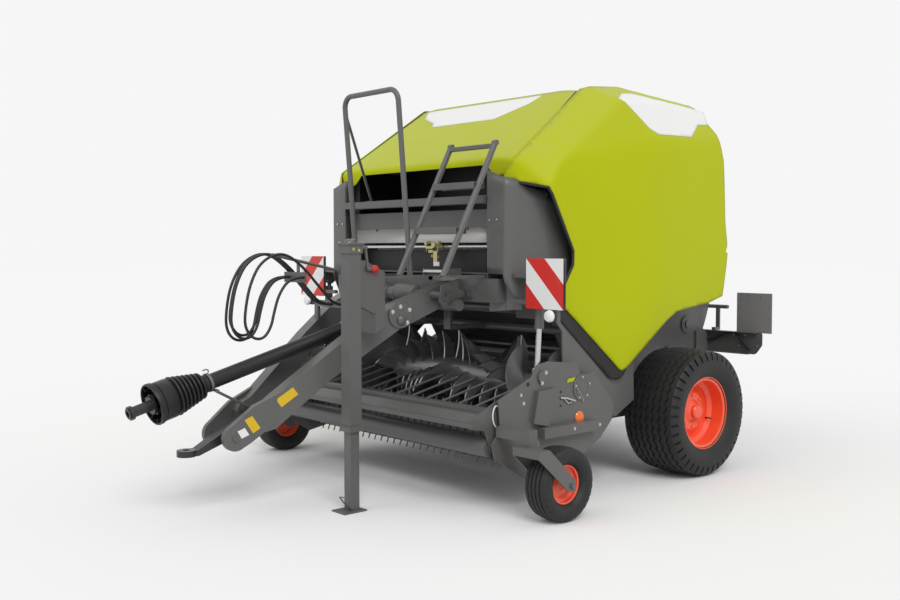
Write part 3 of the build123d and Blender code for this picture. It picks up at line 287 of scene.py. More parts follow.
def math_in(group, operation, first, second):
    """Math node; each operand is a socket or a number."""
    node = group.nodes.new("ShaderNodeMath")
    node.operation = operation
    for socket, value in zip(node.inputs, (first, second)):
        if isinstance(value, (int, float)):
            socket.default_value = value
        else:
            group.links.new(value, socket)
    return node.outputs[0]


ripple, ripple_in, ripple_out = new_group("ripple", [("Scale", 400.0), ("Strength", 1.0)], ["Height"])
ripple_noise = noise_in(ripple, ripple_in, "Scale", 2.0)
ripple_height = math_in(ripple, "MULTIPLY", ripple_noise.outputs["Fac"], ripple_in.outputs["Strength"])
ripple.links.new(ripple_height, ripple_out.inputs["Height"])

dust, dust_in, dust_out = new_group("dust", [("Scale", 9.0), ("Amount", 0.5)], ["Mask"])
dust_noise = noise_in(dust, dust_in, "Scale", 6.0, 0.65)
dust_facing = dust.nodes.new("ShaderNodeNewGeometry")
dust_split = dust.nodes.new("ShaderNodeSeparateXYZ")
dust.links.new(dust_facing.outputs["Normal"], dust_split.inputs[0])
dust_up = math_in(dust, "MAXIMUM", dust_split.outputs["Z"], 0.12)
dust_spread = math_in(dust, "MULTIPLY", dust_noise.outputs["Fac"], dust_up)
dust_mask = math_in(dust, "MULTIPLY", dust_spread, dust_in.outputs["Amount"])
dust.links.new(dust_mask, dust_out.inputs["Mask"])

tone, tone_in, tone_out = new_group("tone", [("Scale", 2.0), ("Spread", 0.1)], ["Shift"])
tone_noise = noise_in(tone, tone_in, "Scale", 3.0)
tone_centred = math_in(tone, "SUBTRACT", tone_noise.outputs["Fac"], 0.5)
tone_spread = math_in(tone, "MULTIPLY", tone_centred, tone_in.outputs["Spread"])
tone.links.new(math_in(tone, "ADD", tone_spread, 1.0), tone_out.inputs["Shift"])
print("node groups:", [g.name for g in (ripple, dust, tone)])

# %% [markdown]
# ## Finishes
#
# One function lays down a finish: a base colour that drifts a little, dust on top of it, a fine
# ripple for the light to break on, and a gloss. Paint, plastic, rubber and plated steel differ in
# the numbers alone, which is how they differ in the workshop too.

# %% Finishes
DUST_COLOUR = (0.42, 0.38, 0.31, 1.0)
COAT_ROUGHNESS, RIPPLE_STRENGTH = 0.08, 0.5


def place_group(tree, group, **values):
    """Puts a node group into a material with its values."""
    node = tree.nodes.new("ShaderNodeGroup")
    node.node_tree = group
    for label, value in values.items():
        node.inputs[label].default_value = value
    return node


def finish(name, colour, rough, metal=0.0, coat=0.0, drift=0.12, drift_scale=2.0, dusty=0.3, dust_scale=9.0,
           grain=500.0, bump=0.0004, rough_drift=0.12, specular=0.5):
    """Principled finish with drift of tone, dust and ripple."""
    material = bpy.data.materials.new(name)
    material.use_nodes = True
    tree = material.node_tree
    shader = tree.nodes["Principled BSDF"]
    plain = {"Metallic": metal, "Coat Weight": coat, "Coat Roughness": COAT_ROUGHNESS, "Specular IOR Level": specular}
    for socket, value in plain.items():
        shader.inputs[socket].default_value = value
    drifting = place_group(tree, tone, Scale=drift_scale, Spread=drift)
    tinted = tree.nodes.new("ShaderNodeVectorMath")
    tinted.operation = "SCALE"
    tinted.inputs[0].default_value = colour[:3]
    tree.links.new(drifting.outputs["Shift"], tinted.inputs["Scale"])
    settled = place_group(tree, dust, Scale=dust_scale, Amount=dusty)
    mixed = tree.nodes.new("ShaderNodeMix")
    mixed.data_type = "RGBA"
    mixed.inputs["B"].default_value = DUST_COLOUR
    tree.links.new(settled.outputs["Mask"], mixed.inputs["Factor"])
    tree.links.new(tinted.outputs[0], mixed.inputs["A"])
    tree.links.new(mixed.outputs["Result"], shader.inputs["Base Color"])
    varied = tree.nodes.new("ShaderNodeMath")
    varied.operation = "MULTIPLY_ADD"
    varied.inputs[1].default_value = rough_drift
    varied.inputs[2].default_value = rough
    tree.links.new(settled.outputs["Mask"], varied.inputs[0])
    tree.links.new(varied.outputs[0], shader.inputs["Roughness"])
    rippled = place_group(tree, ripple, Scale=grain, Strength=1.0)
    bumped = tree.nodes.new("ShaderNodeBump")
    bumped.inputs["Strength"].default_value = RIPPLE_STRENGTH
    bumped.inputs["Distance"].default_value = bump
    tree.links.new(rippled.outputs["Height"], bumped.inputs["Height"])
    tree.links.new(bumped.outputs["Normal"], shader.inputs["Normal"])
    return material


body_paint = finish("body_paint", (0.475, 0.530, 0.001), 0.40, drift=0.06, bump=0.0003, specular=0.10)
frame_paint = finish("frame_paint", (0.108, 0.107, 0.105), 0.40, coat=0.10, drift=0.16, dusty=0.10)
rim_paint = finish("rim_paint", (0.92, 0.105, 0.038), 0.30, coat=0.4, drift=0.06, dusty=0.02, bump=0.0002)
cap_red = finish("cap_red", (0.62, 0.020, 0.014), 0.40, drift=0.08, dusty=0.04)
# rear boards: the frame's dark grey made lighter, painted light, because their face lies in shade here
board_grey_painted_light = finish("board_grey_painted_light", (0.26, 0.25, 0.245), 0.5, drift=0.08, dusty=0.05)
lid_grey = finish("lid_grey", (0.46, 0.45, 0.44), 0.38, metal=0.2, dusty=0.06)

worked_steel = finish("worked_steel", (0.17, 0.17, 0.175), 0.36, metal=0.75, drift=0.4, drift_scale=6.0, dusty=0.12)
rotor_steel = finish("rotor_steel", (0.30, 0.30, 0.31), 0.34, metal=0.55, drift=0.5, drift_scale=7.0, dusty=0.08)
edge_steel = finish("edge_steel", (0.42, 0.42, 0.43), 0.28, metal=1.0, drift=0.5, drift_scale=9.0, dusty=0.15)
bright_steel = finish("bright_steel", (0.55, 0.55, 0.55), 0.25, metal=1.0, drift=0.15, dusty=0.05)
zinc_yellow = finish("zinc_yellow", (0.52, 0.47, 0.24), 0.32, metal=0.9, drift=0.35, drift_scale=14.0, dusty=0.05)
black_steel = finish("black_steel", (0.020, 0.020, 0.021), 0.34, drift=0.3, dusty=0.03)

cast = dict(grain=900.0, bump=0.0006)
tyre_rubber = finish("tyre_rubber", (0.013, 0.0138, 0.0138), 0.55, drift=0.3, dusty=0.03, specular=0.4, **cast)
seal_rubber = finish("seal_rubber", (0.020, 0.018, 0.018), 0.70, drift=0.2, dusty=0.06, **cast)
hose_rubber = finish("hose_rubber", (0.014, 0.014, 0.015), 0.50, drift=0.2, dusty=0.04, grain=1500.0, bump=0.0003)
# black plastic; the same finish is also painted shade, in the machine's shaded inside and in the plate holes
black_plastic_and_painted_shade = finish(
    "black_plastic_and_painted_shade", (0.010, 0.010, 0.0108), 0.42, drift=0.2, dusty=0.02, grain=700.0, bump=0.0005, specular=0.4
)

film_white = finish("film_white", (0.84, 0.84, 0.83), 0.35, drift=0.03, dusty=0.02, bump=0.0001)
film_red = finish("film_red", (0.66, 0.022, 0.016), 0.32, drift=0.04, dusty=0.02, grain=260.0)
label_yellow = finish("label_yellow", (0.72, 0.47, 0.005), 0.40, drift=0.05, dusty=0.04, bump=0.0001)
net_wrap = finish("net_wrap", (0.80, 0.78, 0.74), 0.6, dusty=0.05, grain=240.0, bump=0.002)

glass = dict(dusty=0.0, grain=180.0, bump=0.0015)
lamp_white = finish("lamp_white", (0.88, 0.88, 0.88), 0.12, coat=0.8, drift=0.02, **glass)
lamp_red = finish("lamp_red", (0.55, 0.012, 0.010), 0.14, coat=0.8, drift=0.05, **glass)
reflector_orange = finish(
    "reflector_orange", (0.90, 0.17, 0.001), 0.18, coat=0.6, drift=0.1, dusty=0.0, grain=300.0, bump=0.001
)
print("finishes:", len(bpy.data.materials))

# %% [markdown]
# ## The solids get their finish
#
# Each solid has a slot in the record that says what it is made of, so the finishes are handed out
# by slot. The rotor, the drive shaft and the drawbar's eye show two finishes on the real machine;
# they get theirs by name. The rear boards get a lighter grey by name: painted light on a face that
# lies in shade.

# %% Finish by slot
finish_of_slot = {
    "body_paint": body_paint, "frame_paint": frame_paint, "rim_paint": rim_paint, "tyre_rubber": tyre_rubber,
    "worked_steel": worked_steel, "zinc_steel": bright_steel, "guard_plastic": black_plastic_and_painted_shade,
    "hose_rubber": hose_rubber, "board_film": frame_paint, "net_film": net_wrap,
}
slot_of_node = {row["node"]: row["material_slot"] for row in frame["record"]["subparts"]}
for node_name, node in frame["nodes"].items():
    for material_slot in node.material_slots:
        material_slot.material = finish_of_slot[slot_of_node[node_name]]
# the rear boards take the lighter grey, which is painted light
node_finish = {
    "feed_rotor": rotor_steel, "drive_shaft": black_steel, "drawbar_eye": black_steel, "rear_boards": board_grey_painted_light,
}
for node_name, material in node_finish.items():
    for material_slot in frame["nodes"][node_name].material_slots:
        material_slot.material = material
for hose in hoses:
    hose.data.materials.append(hose_rubber)
print("nodes finished:", len(frame["nodes"]))

# %% [markdown]
# ## Tools for new pieces
#
# Every new piece is a surface worked out as whole arrays: a profile turned about an axis, a
# section carried along a path, or an outline given a thickness. One function joins such arrays
# into a mesh, and another gives the mesh its finish and lets it ride on a body.

# %% Surfaces as arrays
X, Y, Z = np.eye(3)
SIDES = (("left", 1.0), ("right", -1.0))


def unit(direction):
    """A direction of length one."""
    direction = np.asarray(direction, float)
    return direction / np.linalg.norm(direction)


def lattice(rows, columns, wrap_rows=False, wrap_columns=False):
    """Quads of a grid of points stored row by row; a wrapped side joins back to its start."""
    row = np.arange(rows if wrap_rows else rows - 1)
    column = np.arange(columns if wrap_columns else columns - 1)
    a, b = (index.ravel() for index in np.meshgrid(row, column, indexing="ij"))
    here, ahead = a * columns, (a + 1) % rows * columns
    beside = (b + 1) % columns
    return np.stack([here + b, here + beside, ahead + beside, ahead + b], axis=1).tolist()


def basis(direction, hint=Z):
    """Two unit vectors square to a direction, the first one as near to the hint as it can be."""
    along = unit(direction)
    near = X if abs(hint @ along) > 0.95 else hint
    first = unit(near - (near @ along) * along)
    return first, np.cross(along, first)


def ring_of(count, phase=0.0):
    """Angles evenly round a circle."""
    return phase + np.linspace(0, 2 * np.pi, count, endpoint=False)


def circle(radius, sides=12):
    """Offsets of a round section."""
    turn = ring_of(sides)
    return radius * np.stack([np.cos(turn), np.sin(turn)], axis=1)


def turned(profile, centre, direction, sides=32, closed=False):
    """Profile of (distance along, radius) turned about an axis: p = c + d*a + r*(u cos t + v sin t)."""
    profile = np.asarray(profile, float)
    first, second = basis(direction)
    turn = ring_of(sides)
    ring = np.cos(turn)[:, None] * first + np.sin(turn)[:, None] * second
    points = centre + profile[:, 0, None, None] * unit(direction) + profile[:, 1, None, None] * ring[None]
    return points.reshape(-1, 3), lattice(len(profile), sides, wrap_rows=closed, wrap_columns=True)


def rod(place, direction, length, radius, sides=16):
    """Plain round bar from a place along a direction."""
    return turned([(0, 0), (0, radius), (length, radius), (length, 0)], place, direction, sides)


def swept(path, section, hint=Z):
    """Section of (u, v) offsets carried along a path, each ring square to the mean of its two runs."""
    path, section = np.asarray(path, float), np.asarray(section, float)
    steps = np.diff(path, axis=0)
    steps = steps / np.linalg.norm(steps, axis=1)[:, None]
    heading = np.vstack([steps[:1], steps[:-1] + steps[1:], steps[-1:]])
    heading = heading / np.linalg.norm(heading, axis=1)[:, None]
    first, _ = basis(heading[0], hint)
    rings = []
    for here, ahead in zip(path, heading):
        first = unit(first - (first @ ahead) * ahead)
        rings.append(here + section[:, :1] * first + section[:, 1:] * np.cross(ahead, first))
    points, count = np.concatenate(rings), len(section)
    ends = [list(range(count))[::-1], list(range(len(points) - count, len(points)))]
    return points, lattice(len(path), count, wrap_columns=True) + ends


def between(low, high):
    """Closed solid between two rings of as many points."""
    count = len(low)
    ring = np.arange(count)
    ahead = (ring + 1) % count
    sides = np.stack([ring, ahead, ahead + count, ring + count], axis=1).tolist()
    return np.concatenate([low, high]), [list(range(count))[::-1], list(range(count, 2 * count))] + sides


def slab(outline, origin, first, second, thickness):
    """Outline of (u, v) on a plane, given a thickness along the plane's normal."""
    outline, first, second = (np.asarray(value, float) for value in (outline, first, second))
    low = origin + outline[:, :1] * first + outline[:, 1:] * second
    return between(low, low + thickness * np.cross(first, second))


def box(low, high):
    """Box between two corners, each given as (x, station, z)."""
    low, high = np.minimum(low, high), np.maximum(low, high)
    wide, deep, tall = high - low
    return slab([(0, 0), (wide, 0), (wide, deep), (0, deep)], spot(*low), X, Y, tall)


def hex_head(place, direction, size):
    """Bolt head on its washer: a round collar, six flats and a slight crown."""
    crown = [(0.1, 0), (0.1, 0.86), (0.55, 0.86), (0.68, 0.68), (0.68, 0)]
    return [
        rod(place, direction, size * 0.12, size * 1.05),
        turned(size * np.array(crown), place, direction, 6),
    ]


# %% Meshes to pieces
def dress(name, mesh, material, body, sharp):
    """Shades a mesh, makes it an object with its finish and lets it ride on its body."""
    mesh.shade_smooth()
    mesh.set_sharp_from_angle(angle=math.radians(sharp))
    mesh.materials.append(material)
    piece = bpy.data.objects.new(name, mesh)
    bpy.context.scene.collection.objects.link(piece)
    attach(piece, body)
    print(name, len(mesh.polygons), "faces")
    return piece


def make(name, parts, material, body, sharp=35.0, bevel=0.0):
    """Joins arrays into one mesh, closes its seams, turns its faces outwards and dresses it."""
    points, faces, start = [], [], 0
    for part_points, part_faces in parts:
        points.append(part_points)
        faces += [[index + start for index in face] for face in part_faces]
        start += len(part_points)
    mesh = bpy.data.meshes.new(name)
    mesh.from_pydata(np.concatenate(points).tolist(), [], faces)
    shell = bmesh.new()
    shell.from_mesh(mesh)
    bmesh.ops.remove_doubles(shell, verts=shell.verts, dist=1e-6)
    bmesh.ops.dissolve_degenerate(shell, edges=shell.edges, dist=1e-7)
    bmesh.ops.recalc_face_normals(shell, faces=shell.faces)
    shell.to_mesh(mesh)
    shell.free()
    piece = dress(name, mesh, material, body, sharp)
    if bevel:
        edge = piece.modifiers.new("edge", "BEVEL")
        edge.width = bevel
        edge.segments = 2
        edge.limit_method = "ANGLE"
        edge.angle_limit = math.radians(30)
    return piece


def bolts(name, places, direction, size, body, material=bright_steel):
    """Bolt heads of one size, or of a size for each place, as one piece."""
    sizes = np.broadcast_to(size, len(places))
    heads = [part for place, across in zip(places, sizes) for part in hex_head(place, direction, across)]
    return make(name, heads, material, body)


def look(piece, direction, index=0):
    """Turns an open sheet over if one of its faces looks away from a direction."""
    if np.dot(piece.data.polygons[index].normal, direction) < 0:
        piece.data.flip_normals()


def wall_on(piece, thickness, inner=None, offset=-1.0):
    """Gives an open sheet its wall; the far side takes the inner finish, if there is one."""
    wall = piece.modifiers.new("wall", "SOLIDIFY")
    wall.thickness = thickness
    wall.offset = offset
    if inner:
        piece.data.materials.append(inner)
        wall.material_offset = 1


# %% [markdown]
# ## Tyres
#
# The main tyres are wide flotation tyres: eight zig-zag ribs round the tread and square lugs down
# the shoulders. The tread is one grid. Its columns follow the cross section, with a close pair at
# each wall of a groove so that it stays crisp, and they sway from side to side along the
# circumference, which bends every groove at once. The guide tyres use the same function with
# straight ribs.

# %% Tyre surface
def arc_through(start, middle, end, count):
    """Points on the circle through three points of a plane, from start to end."""
    (ax, ay), (bx, by), (cx, cy) = start, middle, end
    a, b, c = ax * ax + ay * ay, bx * bx + by * by, cx * cx + cy * cy
    d = 2 * (ax * (by - cy) + bx * (cy - ay) + cx * (ay - by))
    ux = (a * (by - cy) + b * (cy - ay) + c * (ay - by)) / d
    uy = (a * (cx - bx) + b * (ax - cx) + c * (bx - ax)) / d
    turns = np.unwrap([math.atan2(y - uy, x - ux) for x, y in (start, middle, end)])
    t = np.linspace(turns[0], turns[2], count)
    radius = math.hypot(ax - ux, ay - uy)
    return np.stack([ux + radius * np.cos(t), uy + radius * np.sin(t)], axis=1)


# how the angle is divided within one period, and how deep the shoulder's notch is there
PERIOD_AT = np.array([0.0, 0.25, 0.5, 0.56, 0.60, 0.80, 0.84])
NOTCH_AT, NOTCH = [0.0, 0.56, 0.60, 0.80, 0.84, 1.0], [0.0, 0.0, 1.0, 1.0, 0.0, 0.0]


def tyre_surface(centre, od, width, seat, bead, wall, ribs, groove, depth, periods, sway, lug_depth, lug_low):
    """Grid of angle by cross section: x = x0 + sway*triangle(angle), r = r0 - groove - shoulder notch."""
    crown = od / 2
    shoulder = np.array([width / 2 - wall * 0.7, crown - wall * 0.6])
    belly = (width / 2, (seat + crown) / 2)
    side = arc_through((bead, seat), belly, shoulder, 22)[:-1]
    edge = shoulder[0] - 0.004
    rib = (2 * edge - (ribs - 1) * groove) / ribs
    lines, sunk = [], []
    for index in range(ribs):
        start = -edge + index * (rib + groove)
        lines += [start, start + rib * 0.5, start + rib]
        sunk += [0.0, 0.0, 0.0]
        if index < ribs - 1:
            lines += [start + rib + groove * 0.22, start + rib + groove * 0.78]
            sunk += [1.0, 1.0]
    lines = np.array(lines)
    fall = crown - shoulder[1]
    tread_r = (shoulder[0] ** 2 + fall**2) / (2 * fall)
    top = crown - tread_r + np.sqrt(tread_r**2 - lines**2)
    x = np.concatenate([-side[:, 0], lines, side[::-1, 0], [bead, 0.0, -bead]])
    r = np.concatenate([side[:, 1], top, side[::-1, 1], [seat, seat - 0.0005, seat]])
    flank, foot = np.zeros(len(side)), np.zeros(3)
    on_tread = np.concatenate([flank, np.ones(len(lines)), flank, foot])
    groove_here = np.concatenate([flank, sunk, flank, foot])
    lug_here = (1 - on_tread) * np.clip((r - lug_low) / (0.18 * (crown - lug_low)), 0, 1)
    inwards = np.where(on_tread > 0, 0.0, np.sign(x))
    turn = (np.arange(periods)[:, None] + PERIOD_AT[None]).ravel() / periods
    local = (turn * periods) % 1.0
    wave = np.abs(local * 2 - 1) * 2 - 1
    notch = lug_depth * np.interp(local, NOTCH_AT, NOTCH)[:, None]
    fade = on_tread * np.clip((edge + 0.002 - np.abs(x)) / 0.03, 0, 1)
    xx = x + sway * wave[:, None] * fade - 0.6 * notch * lug_here * inwards
    rr = r - depth * groove_here - notch * lug_here
    angle = 2 * np.pi * turn[:, None]
    cx, cy, cz = centre
    points = np.stack([cx + xx, cy + rr * np.cos(angle), cz + rr * np.sin(angle)], axis=2)
    return points.reshape(-1, 3), lattice(len(turn), len(x), wrap_rows=True, wrap_columns=True)


WHEEL_X, WHEEL_R = 1.075, 0.410
GUIDE_X, GUIDE_STATION, GUIDE_R = 1.360, -1.520, 0.2025
MAIN_TYRE = dict(
    od=2 * WHEEL_R, width=0.400, seat=0.2165, bead=0.149, wall=0.026, ribs=8, groove=0.0155, depth=0.011,
    periods=40, sway=0.0085, lug_depth=0.014, lug_low=0.345,
)
GUIDE_TYRE = dict(
    od=2 * GUIDE_R, width=0.160, seat=0.1035, bead=0.040, wall=0.014, ribs=5, groove=0.008, depth=0.006,
    periods=30, sway=0.0, lug_depth=0.0015, lug_low=0.170,
)
for side, hand in SIDES:
    wheel_at = spot(hand * WHEEL_X, 0, WHEEL_R)
    guide_at = spot(hand * GUIDE_X, GUIDE_STATION, GUIDE_R)
    main = tyre_surface(wheel_at, **MAIN_TYRE)
    tyre = make(f"tread_tyre_{side}", [main], tyre_rubber, f"wheel_{side}", sharp=28)
    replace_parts(tyre, f"tyre_{side}")
    small = tyre_surface(guide_at, **GUIDE_TYRE)
    tyre = make(f"ribbed_tyre_{side}", [small], tyre_rubber, f"guide_wheel_{side}", sharp=28)
    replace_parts(tyre, f"guide_tyre_{side}")

# %% [markdown]
# ## Wheel nuts, hub caps and valves
#
# The rims are right as solids. What they lack is what a spanner fits: a ring of nuts on the disc,
# a cap over the hub, and the valve.

# %% Nuts, caps and valves
NUTS, NUT_RING, GUIDE_NUTS, GUIDE_RING = 8, 0.1030, 5, 0.048
NUT_SIZE, GUIDE_NUT_SIZE = 0.0125, 0.007
DISC_OUT, GUIDE_DISC_OUT, CAP_OUT, VALVE_OUT, VALVE_R = 0.0585, 0.0145, 0.018, 0.045, 0.178
HUB_CAP = [(-0.01, 0.040), (0.022, 0.046), (0.030, 0.040), (0.034, 0.0)]


def ring_places(centre, radius, turn):
    """Points on a circle round an axle, at some angles."""
    return centre + radius * (np.cos(turn)[:, None] * Y + np.sin(turn)[:, None] * Z)


for side, hand in SIDES:
    out, body = hand * X, f"wheel_{side}"
    wheel_at = spot(hand * WHEEL_X, 0, WHEEL_R)
    disc = wheel_at + out * DISC_OUT
    nuts = [part for place in ring_places(disc, NUT_RING, ring_of(NUTS)) for part in hex_head(place, out, NUT_SIZE)]
    make(f"wheel_nuts_{side}", nuts, rim_paint, body)
    make(f"hub_cap_{side}", [turned(HUB_CAP, disc + out * CAP_OUT, out, 32)], rim_paint, body)
    foot = wheel_at + out * VALVE_OUT + VALVE_R * (0.94 * Y - 0.34 * Z)
    valve = swept([foot, foot + out * 0.030, foot + out * 0.052 - 0.012 * Y], circle(0.0045, 10))
    make(f"valve_{side}", [valve], black_plastic_and_painted_shade, body)
    guide_disc = spot(hand * GUIDE_X, GUIDE_STATION, GUIDE_R) + out * GUIDE_DISC_OUT
    places = ring_places(guide_disc, GUIDE_RING, ring_of(GUIDE_NUTS))
    bolts(f"guide_nuts_{side}", places, out, GUIDE_NUT_SIZE, f"guide_wheel_{side}")

# %% [markdown]
# ## Side doors
#
# Each side door is one large pressed panel with soft folds between flat facets, so it isn't left
# as a folded solid. The facets are the planes of the hull round the panel's corner points. At any
# place in side view the skin lies on the innermost plane, and a smooth minimum, which blends
# planes that are nearly level there, rounds the folds as a press does. The outline is filled with
# a regular grid of points that a constrained triangulation joins to the edge.

# %% Facets of the door
DOOR_CORNERS = np.array([
    (853, -1362, 1990), (862, -1362, 1860), (1050, -1262, 1815), (1062, -1170, 1975),
    (758, -692, 2462), (800, -640, 2478), (800, -380, 2502), (800, 430, 2440),
    (1000, -600, 2375), (1105, -320, 2150), (965, 425, 2396), (1055, 430, 2200),
    (1072, 440, 2060), (1072, 480, 1440), (1066, 440, 1110), (1120, -330, 1150),
    (1124, -420, 1700), (1090, -640, 770), (1072, -640, 700), (1040, -1130, 1120),
    (1060, -1080, 1450), (853, -1300, 1500), (760, -640, 700), (760, 430, 1100),
]) / 1000
DOOR_OUTLINE = np.array([
    (-1400, 1868), (-1265, 1816), (-1074, 1452), (-1074, 1370), (-1133, 1261),
    (-1132, 1127), (-672, 735), (-640, 718), (-600, 735), (-232, 1004), (-117, 1063), (133, 1093),
    (280, 1108), (430, 1144), (472, 1374), (482, 1456), (442, 1645), (432, 1841), (420, 2062),
    (372, 2230), (240, 2380), (235, 2470), (-380, 2500), (-640, 2478), (-692, 2462), (-1362, 1990),
]) / 1000
DOOR_BLEND = 0.006


def hull_planes(corners):
    """Outward planes n.p = d of the convex hull of some points, those that face the outside (+x)."""
    hull = bmesh.new()
    for corner in corners:
        hull.verts.new(corner)
    bmesh.ops.convex_hull(hull, input=hull.verts)
    bmesh.ops.dissolve_limit(hull, angle_limit=0.01, verts=hull.verts, edges=hull.edges)
    bmesh.ops.recalc_face_normals(hull, faces=hull.faces)
    planes = [(*face.normal, face.normal @ face.calc_center_median()) for face in hull.faces if face.normal.x > 0.02]
    hull.free()
    return np.array(planes)


door_planes = hull_planes(DOOR_CORNERS)
print("door facets:", len(door_planes))


def door_skin(station, z):
    """x of the door's outer face in side view: the smooth minimum -b*log(sum(exp(-x/b))) of its planes."""
    n, d = door_planes[:, :3], door_planes[:, 3]
    x = (d[:, None] - n[:, 1:2] * station[None] - n[:, 2:3] * z[None]) / n[:, 0:1]
    least = x.min(axis=0)
    return least - DOOR_BLEND * np.log(np.exp(-(x - least) / DOOR_BLEND).sum(axis=0))


# %% Fill an outline with triangles
def filled(outline, step):
    """Constrained triangulation of an outline with a grid of points inside it."""
    outline = np.asarray(outline, float)
    edge = []
    for a, b in zip(outline, np.roll(outline, -1, axis=0)):
        count = max(1, int(np.linalg.norm(b - a) / step))
        edge.append(a + (b - a) * np.arange(count)[:, None] / count)
    edge = np.concatenate(edge)
    low, high = outline.min(axis=0), outline.max(axis=0)
    gx, gy = np.meshgrid(np.arange(low[0], high[0], step), np.arange(low[1], high[1], step), indexing="ij")
    inner = np.stack([gx.ravel(), gy.ravel()], axis=1)
    gap = np.min(np.linalg.norm(inner[:, None] - edge[None], axis=2), axis=1)
    points = [Vector(p) for p in np.concatenate([edge, inner[gap > 0.55 * step]])]
    ring = [(i, (i + 1) % len(edge)) for i in range(len(edge))]
    corners, _, faces, *_ = delaunay_2d_cdt(points, ring, [], 1, 1e-6)
    return np.array([tuple(c) for c in corners]), [list(f) for f in faces]


def skin_piece(name, plan, faces, x, hand, thickness, material, body, inner=None):
    """Sheet over a plan in side view, with its wall towards the inside."""
    points = np.stack([hand * x, plan[:, 0] + AXLE_Y, plan[:, 1]], axis=1)
    mesh = bpy.data.meshes.new(name)
    mesh.from_pydata(points.tolist(), [], faces)
    piece = dress(name, mesh, material, body, sharp=50.0)
    look(piece, hand * X)
    wall_on(piece, thickness, inner)
    return piece


door_plan, door_faces = filled(DOOR_OUTLINE, 0.020)
door_x = door_skin(*door_plan.T)
for side, hand in SIDES:
    door = skin_piece(
        f"door_panel_{side}", door_plan, door_faces, door_x, hand, 0.005, body_paint, f"side_door_{side}",
        black_plastic_and_painted_shade,
    )
    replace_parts(door, f"side_door_{side}")

# %% [markdown]
# ## Seals of the doors
#
# A black rubber seal runs along the front edge of each door.

# %% Seals
def along(outline, step):
    """Points about every step along an open line."""
    outline = np.asarray(outline, float)
    parts = [outline[:1]]
    for a, b in zip(outline[:-1], outline[1:]):
        count = max(1, int(round(np.linalg.norm(b - a) / step)))
        parts.append(a + (b - a) * (np.arange(1, count + 1)[:, None] / count))
    return np.concatenate(parts)


FRONT_EDGE, SEAL_SUNK = DOOR_OUTLINE[:6] + (0.001, 0.0), 0.004
station, z = along(FRONT_EDGE, 0.04).T
seal_line = np.stack([door_skin(station, z) - SEAL_SUNK, station + AXLE_Y, z], axis=1)
for side, hand in SIDES:
    seal = swept(seal_line * (hand, 1, 1), circle(0.009, 8), hint=X)
    make(f"door_seal_{side}", [seal], seal_rubber, f"side_door_{side}")

# %% [markdown]
# ## Front hood
#
# The hood is one sheet bent over the front: a wide middle plane, a shallow fold near each side,
# and a rounded bend down to a vertical lip whose corners hang lower. It is a grid. Its rows follow
# the side profile, from the crest, round the bend and down the lip, and its columns spread across
# the width, which grows from the crest to the front.

# %% Hood
HOOD_CREST, HOOD_FRONT, HOOD_BEND = (-0.690, 2.467), (-1.360, 2.000), 0.045
HOOD_HALF, HOOD_GROWS, FOLD_HALF, FOLD_GROWS = 0.750, 0.094, 0.600, 0.100
HOOD_FALLS, HOOD_COLUMNS, LIP_ROWS = 0.015, 61, 6
LIP_X, LIP_LOW = [0.0, 0.615, 0.690, 0.844], [1.962, 1.962, 1.893, 1.893]


def bend_profile(start, corner, radius, straight_count, arc_count):
    """Side profile: a straight run and an arc that turns it to straight down."""
    start, corner = np.array(start), np.array(corner)
    run = unit(corner - start)
    inward = np.array([-run[1], run[0]])
    bend = corner - run * radius * math.tan(math.acos(-run[1]) / 2)
    straight = start + (bend - start) * np.linspace(0, 1, straight_count)[:, None]
    angle = np.linspace(math.atan2(-inward[1], -inward[0]), math.pi, arc_count + 1)[1:]
    arc = bend + inward * radius + radius * np.stack([np.cos(angle), np.sin(angle)], axis=1)
    return np.concatenate([straight, arc])


def hood_share(station):
    """How far a station lies on the way from the crest (0) to the front (1)."""
    return np.clip((HOOD_CREST[0] - station) / (HOOD_CREST[0] - HOOD_FRONT[0]), 0, 1)


def hood_fall(x, station):
    """How far the hood's side lies below its middle plane: it starts at the fold and widens to the front."""
    share = hood_share(station)
    fold, half = FOLD_HALF + FOLD_GROWS * share, HOOD_HALF + HOOD_GROWS * share
    return HOOD_FALLS * np.clip((np.abs(x) - fold) / (half - fold), 0, 1) ** 1.3


def hood_height(x, station):
    """Height of the hood's skin: its middle plane less the fall."""
    (a, high), (b, low) = HOOD_CREST, HOOD_FRONT
    return high + (low - high) * (station - a) / (b - a) - hood_fall(x, station)


spread = np.linspace(-1, 1, HOOD_COLUMNS)
profile = bend_profile(HOOD_CREST, HOOD_FRONT, HOOD_BEND, 14, 6)
station, z = profile[:, :1], profile[:, 1:]
hood_x = (HOOD_HALF + HOOD_GROWS * hood_share(station)) * spread
hood_points = np.stack([hood_x, station + AXLE_Y + 0 * hood_x, z - hood_fall(hood_x, station)], axis=2)
lip_bottom = hood_points[-1].copy()
lip_bottom[:, 1] = HOOD_FRONT[0] + AXLE_Y
lip_bottom[:, 2] = np.interp(np.abs(lip_bottom[:, 0]), LIP_X, LIP_LOW)
share = np.linspace(0, 1, LIP_ROWS + 1)[1:, None, None]
hood_grid = np.concatenate([hood_points, hood_points[-1] * (1 - share) + lip_bottom * share])
hood_sheet = (hood_grid.reshape(-1, 3), lattice(len(hood_grid), HOOD_COLUMNS))
hood_shell = make("hood_shell", [hood_sheet], body_paint, "front_hood", sharp=60)
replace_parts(hood_shell, "front_hood")
look(hood_shell, Z, index=7 * (HOOD_COLUMNS - 1) + 30)
wall_on(hood_shell, 0.005, black_plastic_and_painted_shade)

# %% [markdown]
# ## Bare white panels
#
# The hood and the doors each carry a thin white film. It is cut from the same surface as the skin
# under it and lifted by about three millimetres, so that it follows the skin's bend and stays
# clear of its facets.

